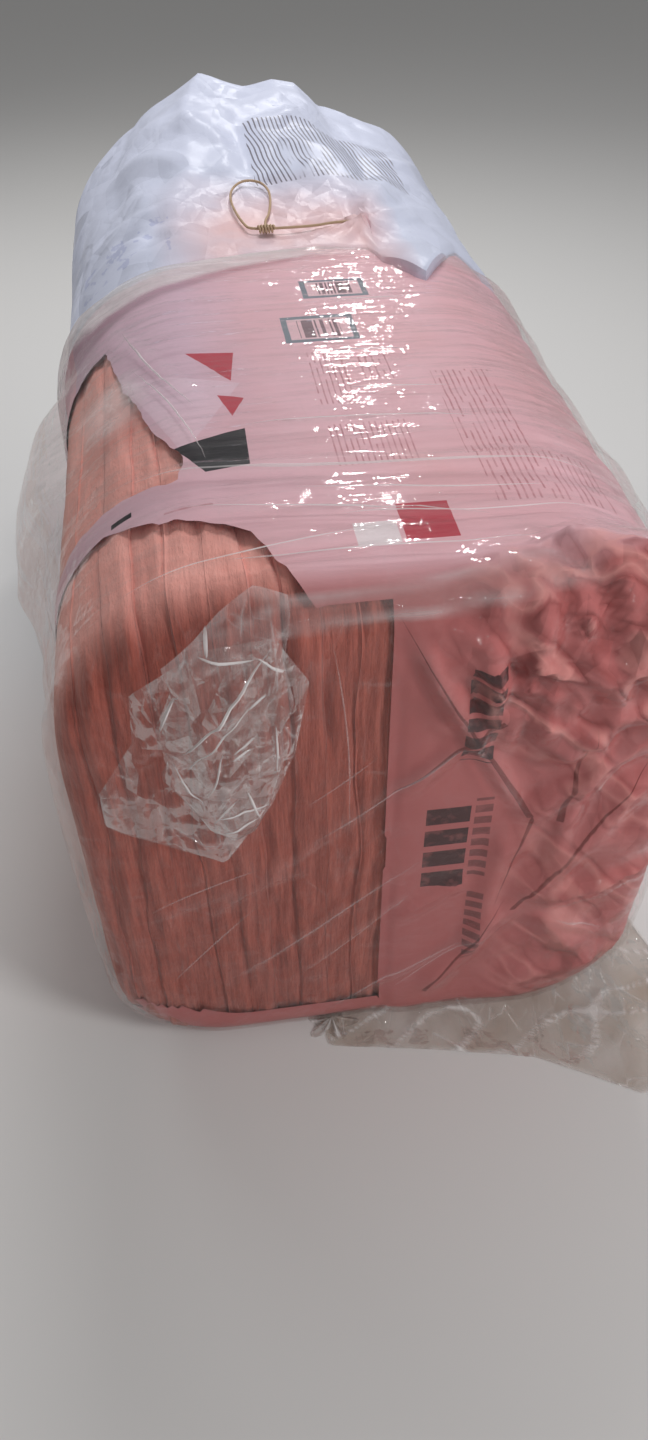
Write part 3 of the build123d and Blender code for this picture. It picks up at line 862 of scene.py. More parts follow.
class Pouch:
    """A crushed sheet of film that stands out from the near end inside an outline round its middle."""

    def __init__(self, outline, middle, base, swell, crush, milk_and_highlight):
        ends = outline[1:] + outline[:1]
        runs = [np.linspace(start, end, 30, endpoint=False) for start, end in zip(outline, ends)]
        off = np.concatenate(runs) - np.array(middle)
        self.angles, self.radii = np.arctan2(off[:, 1], off[:, 0]), np.hypot(off[:, 0], off[:, 1])
        self.middle, self.base, self.swell, self.crush, self.milk_and_highlight = middle, base, swell, crush, milk_and_highlight

    def reach(self, angle):
        """Distance from the middle to the outline in a direction."""
        return np.interp(angle, self.angles, self.radii, period=2 * math.pi)

    def out(self, x, z):
        """The sheet's place along the bale at x and z, the share of the way out, and how it is crushed."""
        off_x, off_z = x - self.middle[0], z - self.middle[1]
        share = np.hypot(off_x, off_z) / self.reach(np.arctan2(off_z, off_x))
        flat = np.stack([x, 0 * x, z], -1)
        lean = np.stack([x * 0.8 + z * 0.6, 0 * x, (z * 0.8 - x * 0.6) * 2.2], -1)
        crushed = crinkles(lean, 0.075, 61, 7) + 0.55 * crinkles(flat, 0.034, 62, 7)
        dome = np.sqrt(np.clip(1 - share**2, 0, 1))
        y = -HALF_LENGTH - self.base - dome * self.swell - self.crush * crushed * smooth(1 - share, 0.0, 0.12)
        return np.minimum(y + 0.030 * smooth(z, 0.545, 0.600), -0.575), share, crushed

    def shape(self, a, b):
        """Points and paint of the sheet for shares round it and out from its middle."""
        angle = 2 * math.pi * a
        x = self.middle[0] + self.reach(angle) * b * np.cos(angle)
        z = self.middle[1] + self.reach(angle) * b * np.sin(angle)
        y, share, crushed = self.out(x, z)
        milk_and_highlight = self.milk_and_highlight * (1 + 3.0 * smooth(share, 0.93, 0.99) + 2.0 * smooth(np.abs(crushed), 0.6, 1.0))
        low = smooth(-z, -0.44, -0.38)
        return np.stack([x, y, z], -1), milk_and_highlight * (1 + 1.2 * low), 1.0 + 0 * a, 0 * a


EAR_BAND = Pouch(EAR_OUTLINE, (-0.150, 0.440), 0.006, 0.007, 0.005, 0.030)
EAR_POUCH = Pouch(POUCH_OUTLINE, (-0.132, 0.475), 0.012, 0.022, 0.011, 0.055)


def crease(number, start, end, width, milk_and_highlight, lay):
    """One sharp crease of the clear film: a slender ridge from start to end, put on the film by lay, milky
    partly from its whitened fold and partly as a painted highlight.
    """
    length = math.dist(start, end)
    swing = 0.03 * length * math.sin(number * 2.4)

    def shape(a, b):
        taper = np.sin(math.pi * a)**0.5
        off = (b - 0.5) * width * taper + swing * np.sin(math.pi * a)
        run_a, run_b = (end[0] - start[0]) / length, (end[1] - start[1]) / length
        place_a = start[0] + run_a * length * a - run_b * off
        place_b = start[1] + run_b * length * a + run_a * off
        points, normal = lay(place_a, place_b)
        ridge = 0.0005 + 0.4 * width * (1 - np.abs(2 * b - 1)) * taper
        return points + np.array(normal) * ridge[..., None], milk_and_highlight * taper, 0 * a, 0 * a

    return strip(f"crease_{number}", max(6, int(length / 0.005)), 2, shape)


def make_creases(sizes):
    """All the sharp creases of the clear film."""
    def on_film(rest, normal):
        rise = clear_rise(rest, np.array(normal, float) + 0 * rest, sizes)[0]
        return rest + np.array(normal) * rise[..., None], normal

    def on_face(x, z):
        return on_film(np.stack([x, 0 * x - CLEAR_SKIN.near, z], -1), (0, -1, 0))

    def on_top(x, y):
        level = BALE_TOP + CLEAR_SKIN.grow - CROWN * (x / HALF_WIDTH)**2
        over = np.maximum(np.abs(x) - (HALF_WIDTH - SHOULDER), 0)
        level = level - SHOULDER + np.sqrt(SHOULDER**2 - over**2)
        return on_film(np.stack([x, y, level], -1), (0, 0, 1))

    def on_ear(x, z):
        return np.stack([x, EAR_POUCH.out(x, z)[0], z], -1), (0, -1, 0)

    made = []
    # Along each crease the film is made milky, partly for its whitened fold and partly as a painted
    # highlight.
    groups = (EAR_CREASES, 0.75, on_ear), (FACE_CREASES, 0.20, on_face), (TOP_CREASES, 0.6, on_top)
    for routes, milk_and_highlight, lay in groups:
        for start, end, width in routes:
            made.append(crease(len(made), start, end, width, milk_and_highlight, lay))
    return made


def along_line(points, share):
    """Points at shares of the length of a line through the points."""
    points = np.array(points)
    lengths = np.concatenate([[0], np.cumsum(np.hypot(*np.diff(points, axis=0).T))])
    return [np.interp(share, lengths / lengths[-1], points[:, i]) for i in range(2)]


def floor_skirt(a, b):
    """Spare film that comes down from the foot of the bale at its near right corner and lies on the floor."""
    edge_x, edge_y = along_line(SKIRT_OUTLINE, a)
    root_x, root_y = along_line(SKIRT_ROOT, a)
    x, y = root_x + (edge_x - root_x) * b, root_y + (edge_y - root_y) * b
    height = 0.045 * np.clip(1 - b / 0.55, 0, 1)**2
    points = np.stack([x, y, 0 * x], -1)
    waves = 0.0045 * ridges(np.stack([a, 0.25 * b, 0 * a], -1), (0.05, 0.5, 1), 44)
    waves = waves + 0.004 * facets(points, 0.035, 45)
    rim = smooth(b, 1.0, 0.93)
    z = 0.0012 + height + np.maximum(waves, 0) * (0.25 + 0.75 * rim)
    milk_and_highlight = 0.08 + 0.22 * smooth(b, 0.94, 1.0) + 0.05 * lumps(points, 0.03, 46)
    # Painted highlights: the ridges of the skirt are made milky where glints would shine.
    milk_and_highlight = milk_and_highlight + 0.38 * smooth(ridges(points, (0.09, 0.035, 1), 47), 0.80, 1.0)
    return np.stack([x, y, z], -1), milk_and_highlight, 0.9 + 0 * a, 0.30 + 0.70 * facets(points, 0.055, 48)


def floor_tuft(a, b):
    """The little gathered end of film on the floor at the middle of the near end."""
    angle = a * 2 * math.pi
    radius = 0.018 * b * (1 + 0.30 * np.cos(5 * angle))
    x, y = -0.050 + radius * np.cos(angle) * 1.3, -0.592 + radius * np.sin(angle) * 0.9
    z = 0.001 + 0.014 * (1 - b)**1.5 + 0.010 * np.cos(9 * angle) * b * (1 - b)
    pleats = smooth(np.cos(9 * angle), 0.4, 1.0)
    return np.stack([x, y, np.maximum(z, 0.0006)], -1), 0.25 + 0.45 * pleats, 1.0 + 0 * a, 0.6 + 0 * a


class BALE_OT_clear_bag(bpy.types.Operator):
    """Builds the clear outer bag with its fold, ear, flare, hem and skirt"""

    bl_idname = "bale.clear_bag"
    bl_label = "Clear bag"

    def execute(self, context):
        sizes = context.scene.bale_sizes
        parts = [make_clear_bag(sizes), strip("ear_band", 150, 24, EAR_BAND.shape),
                 strip("ear_pouch", 150, 40, EAR_POUCH.shape)]
        for piece in parts[1:]:
            weld(piece)
        parts += [strip("skirt", 110, 36, floor_skirt), strip("tuft", 40, 8, floor_tuft)]
        parts += make_creases(sizes)
        film = join(parts, "clear_film")
        shade_smooth(film, 50)
        film.data.materials.append(clear_material())
        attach(film, "root")
        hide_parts("clear_bag")
        return {"FINISHED"}


def white_puff(x, y):
    """Height of the white bag's crests and valley over its smooth skin."""
    crest, dip, lobe = curve_at(LEFT_CREST, y), curve_at(VALLEY, y), curve_at(RIGHT_CREST, y)
    stops = [(crest - 0.097, 0.0), (crest - 0.072, 0.016), (crest, 0.063), (dip, 0.0445), (lobe, 0.0495),
             (lobe + 0.032, 0.041), (lobe + 0.066, 0.006), (lobe + 0.112, -0.004), (lobe + 0.160, 0.0)]
    height = np.zeros_like(x)
    for (left, low), (right, high) in zip(stops, stops[1:]):
        share = np.clip((x - left) / np.maximum(right - left, 1e-6), 0, 1)
        height = np.where(x >= left, low + (high - low) * share, height)
    return np.where(x > stops[-1][0], 0, height) * curve_at(RIDGE_GROWTH, y)


def white_rise(points, normal, sizes):
    """How far the crushed white film stands off its smooth skin."""
    x, y, z = np.moveaxis(points, -1, 0)
    top = smooth(normal[..., 2], 0.35, 0.85)
    calm = smooth(off_spot(x, y, CALM_AT, 0.09, 0.11), 0.7, 1.4)
    quiet = smooth(y, 0.04, 0.13)
    wall = smooth(-z, -0.46, -0.38)
    narrow = 1 - (0.75 - 0.45 * wall) * smooth(-x, 0.15, 0.22) - 0.35 * smooth(x, 0.10, 0.20)
    rough = 0.35 + 0.65 * smooth(lumps(points, 0.16, 53), -0.1, 0.25)
    crushed = 0.55 + 0.75 * crinkles(points, 0.17, 50) + 0.34 * rough * crinkles(points, 0.062, 51)
    rise = quiet * (0.15 + 0.85 * calm) * sizes.crumple * narrow * np.maximum(crushed, 0)
    for start, end, width, height in WHITE_CREASES:
        rise = rise + top * height * fold(x, y, start, end, width) * (1 - 0.6 * smooth(-x, 0.15, 0.22))
    gather = np.hypot(x - GATHER_AT[0], y - GATHER_AT[1])
    angle = np.arctan2(y - GATHER_AT[1], x - GATHER_AT[0])
    pleats = 0.5 + 0.5 * np.cos(9 * angle + 30 * gather)
    rise = rise + top * (0.009 * np.exp(-(gather / 0.016)**2) + 0.005 * pleats * np.exp(-(gather / 0.055)**2))
    return rise


def make_white_bag(sizes):
    """The white bag: a skin from its mouth, with the pointed flap, to its closed and puffed far end."""
    skin = WHITE_SKIN
    columns = int(GIRTH / sizes.cell)
    rows = int((skin.total - skin.along(WHITE_FROM)) / sizes.cell)
    piece, u, v = grid("white_film", columns, rows)
    start = skin.along(round_the_girth(u, WHITE_MOUTH, WHITE_MOUTH_BELOW))
    t = start + (skin.total - start) * v
    rest = skin.point(u, t)
    normal = skin.normal(u, t)
    x, y, z = np.moveaxis(rest, -1, 0)
    edge = smooth(t - start, 0.0, 0.035)
    puff = white_puff(x, y) * smooth(z, 0.35, 0.56) * edge
    flap = smooth(-off_spot(x, y, FLAP_AT, 0.062, 0.075), -1.0, -0.2) * smooth(z, 0.45, 0.55)
    rise = 0.0026 + (np.maximum(white_rise(rest, normal, sizes), -0.0005) + 0.0010) * edge + 0.013 * flap
    lip = smooth(t - start, -0.001, 0.007)
    rise = rise * lip - 0.0016 * (1 - lip)
    rise = rise * (1 - smooth(-normal[..., 2], 0.55, 0.95))
    points = rest + normal * rise[..., None]
    points[..., 2] = np.maximum(points[..., 2] + puff, 0.0006)
    points[-1] = points[-1].mean(axis=0)
    move_corners(piece, points)
    weld(piece)
    return piece


class BALE_OT_white_bag(bpy.types.Operator):
    """Builds the crumpled white bag over the far end"""

    bl_idname = "bale.white_bag"
    bl_label = "White bag"

    def execute(self, context):
        sizes, colours = context.scene.bale_sizes, context.scene.bale_colours
        white = make_white_bag(sizes)
        shade_smooth(white, 40)
        white.data.materials.append(white_material(colours))
        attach(white, "root")
        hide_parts("white_bag")
        return {"FINISHED"}


# Cord


class BALE_OT_draw_cord(bpy.types.Operator):
    """Lays the draw cord with its loop, and ties its knot"""

    bl_idname = "bale.draw_cord"
    bl_label = "Draw cord and knot"

    def execute(self, context):
        colours = context.scene.bale_colours
        route = [(x, y, BAG_TOP + rise) for x, y, rise in CORD_ROUTE]
        cord = string_curve("draw_cord_line", route, CORD_DIAMETER)
        cord.data.materials.append(cord_material(colours, "cord_fibre"))
        knot = make_knot(colours)
        length = cord_length(cord)
        for piece, slot, node in ((cord, "cord", "draw_cord"), (knot, "knot", "cord_knot")):
            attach(piece, "root")
            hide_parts(node)
        return {"FINISHED"}


def string_curve(name, points, thickness):
    """A string of one open smooth spline, with the points as its control points."""
    bpy.ops.object.select_all(action="DESELECT")
    bpy.ops.curve.primitive_nurbs_path_add()
    string = active()
    string.name = string.data.name = name
    string.matrix_world = Matrix.Identity(4)
    string.data.splines.clear()
    spline = string.data.splines.new("NURBS")
    spline.points.add(len(points) - 1)
    for point, place in zip(spline.points, points):
        point.co = (*place, 1)
    spline.order_u = 3
    spline.use_endpoint_u = True
    spline.resolution_u = 12
    string.data.bevel_depth = thickness / 2
    string.data.bevel_resolution = 3
    string.data.use_fill_caps = True
    return string


def cord_length(cord):
    """Length of the cord's own line."""
    bevel = cord.data.bevel_depth
    cord.data.bevel_depth = 0
    line = bpy.data.meshes.new_from_object(cord.evaluated_get(bpy.context.evaluated_depsgraph_get()))
    cord.data.bevel_depth = bevel
    ends = [corner.co for corner in line.vertices]
    length = sum((after - before).length for before, after in zip(ends, ends[1:]))
    bpy.data.meshes.remove(line)
    return length


def make_knot(colours):
    """The knot: turns of string wound tightly round the cord."""
    points = []
    z = BAG_TOP + CORD_ROUTE[3][2]
    for share in np.arange(KNOT_POINTS) / (KNOT_POINTS - 1):
        angle = share * KNOT_TURNS * 2 * math.pi
        swell = 1 + 0.25 * math.sin(share * math.pi)
        y = KNOT_AT[1] + 0.0032 * swell * math.cos(angle) * 1.35
        points.append((KNOT_AT[0] + (share - 0.5) * KNOT_LENGTH, y, z + 0.0030 * swell * math.sin(angle)))
    select_only(string_curve("cord_knot_turns", points, CORD_DIAMETER * 0.92))
    bpy.ops.object.convert(target="MESH")
    knot = active()
    knot.name = knot.data.name = "cord_knot_turns"
    shade_smooth(knot)
    knot.data.materials.append(cord_material(colours, "knot_fibre"))
    return knot


# Materials


def add_node(tree, kind, options=None, inputs=None):
    """Adds a shader node, sets its options, and sets or links its inputs."""
    made = tree.nodes.new("ShaderNode" + kind)
    for name, value in (options or {}).items():
        setattr(made, name, value)
    for name, value in (inputs or {}).items():
        if isinstance(value, bpy.types.NodeSocket):
            tree.links.new(value, made.inputs[name])
        else:
            made.inputs[name].default_value = value
    return made


def new_material(name):
    """An empty node material, its tree and the object's own coordinates."""
    material = bpy.data.materials.new(name)
    material.use_nodes = True
    tree = material.node_tree
    tree.nodes.clear()
    return material, tree, add_node(tree, "TexCoord").outputs["Object"]


def finish(tree, kind, inputs):
    """Ends a material in one shader."""
    shader = add_node(tree, kind, inputs=inputs)
    add_node(tree, "OutputMaterial", inputs={"Surface": shader.outputs[0]})


def maths(tree, operation, *values):
    """The result of a Math node."""
    return add_node(tree, "Math", {"operation": operation}, dict(enumerate(values))).outputs[0]


def chain(tree, operation, first, *values):
    """One operation from each value to the next."""
    for value in values:
        first = maths(tree, operation, first, value)
    return first


def times(tree, *values):
    """The values multiplied."""
    return chain(tree, "MULTIPLY", *values)


def plus(tree, *values):
    """The values added."""
    return chain(tree, "ADD", *values)


def highest(tree, *values):
    """The highest of the values, which is the union of masks."""
    return chain(tree, "MAXIMUM", *values)


def away_from(tree, value, middle):
    """How far a value is from its middle."""
    return maths(tree, "ABSOLUTE", maths(tree, "SUBTRACT", value, middle))


def painted(tree, name):
    """What the piece's corners carry under a name."""
    return add_node(tree, "Attribute", {"attribute_name": name}).outputs["Fac"]


def mapped(tree, place, scale, turn=(0, 0, 0)):
    """A place turned and stretched."""
    return add_node(tree, "Mapping", inputs={"Vector": place, "Rotation": turn, "Scale": scale}).outputs[0]


def noise_node(tree, place, scale, detail=4.0, roughness=0.6, bend=0.0):
    """Noise in a place that is stretched by three scales, bent if it is told to be."""
    inputs = {"Vector": mapped(tree, place, scale), "Scale": 1.0, "Detail": detail, "Roughness": roughness,
              "Distortion": bend}
    return add_node(tree, "TexNoise", inputs=inputs).outputs["Fac"]


def ramp(tree, value, low, high, start=0.0, end=1.0):
    """A value mapped from low..high to start..end and kept there."""
    inputs = {"Value": value, "From Min": low, "From Max": high, "To Min": start, "To Max": end}
    return add_node(tree, "MapRange", {"clamp": True}, inputs).outputs[0]


def mix_colour(tree, share, first, second):
    """One colour over another by a share, by the Mix node's sockets for colours."""
    return add_node(tree, "Mix", {"data_type": "RGBA"}, {0: share, 6: first, 7: second}).outputs[2]


def over(tree, base, colour, *shares):
    """A colour laid over the base where all the shares meet."""
    return mix_colour(tree, times(tree, *shares), base, colour)


def bump_node(tree, height, strength, distance, normal=None):
    """A bump normal."""
    inputs = {"Height": height, "Strength": strength, "Distance": distance}
    if normal is not None:
        inputs["Normal"] = normal
    return add_node(tree, "Bump", inputs=inputs).outputs[0]


def creases_node(tree, place, scale, turn):
    """Distance to the straight edges of random flat cells, which is 0 on a crease."""
    return add_node(tree, "TexVoronoi", {"feature": "DISTANCE_TO_EDGE"},
                    {"Vector": mapped(tree, place, scale, turn), "Scale": 1.0}).outputs["Distance"]


def facet_turn(tree, place, scale, turn, amount, normal=None):
    """The normal tilted at random from cell to cell, like the flat sides of crushed film."""
    def vector(operation, inputs):
        return add_node(tree, "VectorMath", {"operation": operation}, inputs).outputs[0]

    cells = add_node(tree, "TexVoronoi", inputs={"Vector": mapped(tree, place, scale, turn), "Scale": 1.0})
    tilt = vector("SUBTRACT", {0: cells.outputs["Color"], 1: (0.5, 0.5, 0.5)})
    tilt = vector("SCALE", {0: tilt, "Scale": amount})
    if normal is None:
        normal = add_node(tree, "NewGeometry").outputs["Normal"]
    return vector("NORMALIZE", {0: vector("ADD", {0: normal, 1: tilt})})


# Colours of the wool, besides the two that a user would change, with a painted lit top and a painted shaded
# near end
PALE_STREAK = (0.94, 0.50, 0.42, 1)
PALE_FLUFF = (0.96, 0.62, 0.55, 1)
LIT_TOP_WOOL = (0.98, 0.47, 0.42, 1)
SIDE_STRANDS = (0.58, 0.19, 0.14, 1), (0.84, 0.42, 0.34, 1)
SHADED_END_STREAKS = (0.25, 0.036, 0.022, 1), (0.50, 0.115, 0.078, 1)


def wool_material(colours):
    """Matt fibrous wool: streaks along the layers, darker in the joints, pale fluff on the crests, painted
    light on the top and painted shade on the near end.
    """
    material, tree, place = new_material("wool")
    x, y, z = add_node(tree, "SeparateXYZ", inputs={0: place}).outputs
    streaks = noise_node(tree, place, (170, 12, 12), 5, 0.75, 0.15)
    clumps = noise_node(tree, place, (26, 6, 6), 4)
    fluff = noise_node(tree, place, (260, 90, 90), 3, 0.7)
    fibres = noise_node(tree, place, (30, 150, 24), 4, 0.7)
    base = mix_colour(tree, ramp(tree, clumps, 0.36, 0.60), tuple(colours.wool_deep), tuple(colours.wool))
    base = over(tree, base, PALE_STREAK, ramp(tree, streaks, 0.50, 0.75, 0.0, 0.45))
    base = over(tree, base, PALE_FLUFF, ramp(tree, fluff, 0.60, 0.8, 0.0, 0.40))
    # Painted light: the top is made paler, as if lit from above.
    base = over(tree, base, LIT_TOP_WOOL, ramp(tree, z, BALE_TOP - 0.16, BALE_TOP - 0.02, 0.0, 0.58))
    side = ramp(tree, x, 0.016 - HALF_WIDTH, 0.006 - HALF_WIDTH)
    base = over(tree, base, mix_colour(tree, ramp(tree, fibres, 0.36, 0.64), *SIDE_STRANDS), side, 0.75)
    # Painted shade: the near end is darkened to deep red-brown streaks.
    end = ramp(tree, y, 0.055 - HALF_LENGTH, 0.015 - HALF_LENGTH)
    base = over(tree, base, mix_colour(tree, ramp(tree, streaks, 0.36, 0.64), *SHADED_END_STREAKS), end, 0.90)
    height = plus(tree, times(tree, streaks, 0.5), times(tree, fluff, 0.4), times(tree, fibres, side, 0.8))
    finish(tree, "BsdfPrincipled", {
        "Base Color": base, "Roughness": 0.95, "Specular IOR Level": 0.15, "Sheen Weight": 0.25,
        "Sheen Roughness": 0.6, "Normal": bump_node(tree, height, 0.8, 0.005)})
    return material


def box_mask(tree, a, b, middle, size):
    """1 inside a box in the plane of a and b."""
    return times(tree, maths(tree, "COMPARE", a, middle[0], size[0] / 2),
                 maths(tree, "COMPARE", b, middle[1], size[1] / 2))


def corner_mask(tree, a, b, corners):
    """1 inside a three-cornered patch, its corners given counterclockwise."""
    sides = []
    for (a0, b0), (a1, b1) in zip(corners, corners[1:] + corners[:1]):
        right = times(tree, maths(tree, "SUBTRACT", a, a0), b1 - b0)
        left = times(tree, maths(tree, "SUBTRACT", b, b0), a1 - a0)
        sides.append(maths(tree, "GREATER_THAN", maths(tree, "SUBTRACT", left, right), 0.0))
    return times(tree, *sides)


def stripes(tree, value, pitch, share):
    """1 on a share of each pitch."""
    return maths(tree, "LESS_THAN", maths(tree, "FRACT", maths(tree, "DIVIDE", value, pitch)), share)


def step_number(tree, value, pitch):
    """Which step of the pitch a value is in."""
    return maths(tree, "FLOOR", maths(tree, "DIVIDE", value, pitch))


def by_chance(tree, number, share):
    """1 for a share of whole numbers, at random."""
    dice = add_node(tree, "TexWhiteNoise", {"noise_dimensions": "1D"}, {"W": number}).outputs["Value"]
    return maths(tree, "LESS_THAN", dice, share)


def text_block(tree, a, b, middle, size, pitch):
    """Rows of broken strokes along b in a box, like small print seen from afar."""
    shift = times(tree, step_number(tree, a, pitch), WORD_SHIFT)
    word = plus(tree, maths(tree, "DIVIDE", b, WORD_LENGTH), shift)
    words = by_chance(tree, maths(tree, "FLOOR", word), 0.86)
    return times(tree, stripes(tree, a, pitch, 0.30), words, box_mask(tree, a, b, middle, size))


# Print on the sleeve's top, across and along: blocks of small print with their pitch, bar labels, and
# patches, one of them a near-white box of painted glare
WORD_LENGTH = 0.0125
WORD_SHIFT = 17.0
SMALL_PRINT = [((0.000, -0.257), (0.036, 0.108), 0.0052), ((0.045, -0.240), (0.030, 0.060), 0.0065),
               ((0.020, -0.383), (0.074, 0.070), 0.0052), ((0.125, -0.336), (0.058, 0.154), 0.0056),
               ((0.156, -0.448), (0.107, 0.080), 0.0060)]
SIDEWAYS_PRINT = ((-0.456, -0.144), (0.009, 0.040), 0.0085)
BAR_LABELS = [((0.0055, -0.1495), (0.075, 0.062)), ((0.0345, -0.0495), (0.071, 0.050))]
BAR_PITCH = 0.0019
GLARE_BOX = ((-0.002, -0.520), (0.034, 0.030))
RED_CORNERS = [[(-0.133, -0.182), (-0.093, -0.248), (-0.086, -0.190)],
               [(-0.108, -0.274), (-0.097, -0.316), (-0.084, -0.284)]]
RED_SQUARE = ((0.040, -0.508), (0.042, 0.050))
BLACK_CORNERS = [[(-0.152, -0.362), (-0.127, -0.408), (-0.088, -0.340)],
                 [(-0.127, -0.408), (-0.089, -0.402), (-0.088, -0.340)]]
BLACK_MARK = ((-0.200, -0.437), (0.018, 0.007))
PALE_FLAP = [(-0.196, -0.206), (-0.144, -0.374), (-0.085, -0.254)]

# Marks on the sleeve's near end, across and up: stencil bars with pitch and share, and slivers of painted
# shade in its folds
STENCIL_BARS = [(0.030, 0.72, (0.054, 0.300), (0.040, 0.118)), (0.019, 0.70, (0.071, 0.467), (0.026, 0.112))]
FAINT_BARS = [(0.0155, 0.62, (0.086, 0.306), (0.016, 0.108)), (0.0145, 0.62, (0.088, 0.176), (0.015, 0.108))]
FOLD_SHADE_SLIVERS = [
    [(0.000, 0.570), (0.124, 0.334), (0.130, 0.336)], [(0.128, 0.338), (0.108, 0.205), (0.131, 0.330)],
    [(-0.001, 0.372), (0.090, 0.462), (0.086, 0.466)], [(0.232, 0.400), (0.124, 0.196), (0.130, 0.194)],
    [(0.118, 0.212), (0.045, 0.060), (0.050, 0.056)], [(0.165, 0.455), (0.150, 0.330), (0.156, 0.330)],
]

# Colours of the sleeve, its print and its painted shade, highlights and glare, besides the one that a user
# would change
CLOUDED_PINK = (0.84, 0.54, 0.61, 1)
LILAC = (0.66, 0.50, 0.62, 1)
PALE_LILAC = (0.84, 0.66, 0.76, 1)
GLARE_WHITE = (0.88, 0.86, 0.88, 1)
SHADED_END_RED = (0.49, 0.125, 0.115, 1)
FOLD_SHADE_RED = (0.14, 0.018, 0.016, 1)
PRINT_RED = (0.42, 0.12, 0.14, 1)
FRAME_TEAL = (0.10, 0.20, 0.24, 1)
LABEL_PINK = (0.82, 0.62, 0.66, 1)
BAR_INK = (0.10, 0.06, 0.08, 1)
PATCH_RED = (0.52, 0.06, 0.09, 1)
PATCH_BLACK = (0.012, 0.012, 0.016, 1)
STENCIL_INK = (0.03, 0.018, 0.02, 1)
VALLEY_SHADE_RED = (0.24, 0.035, 0.032, 1)
CREST_HIGHLIGHT_PINK = (0.88, 0.42, 0.38, 1)


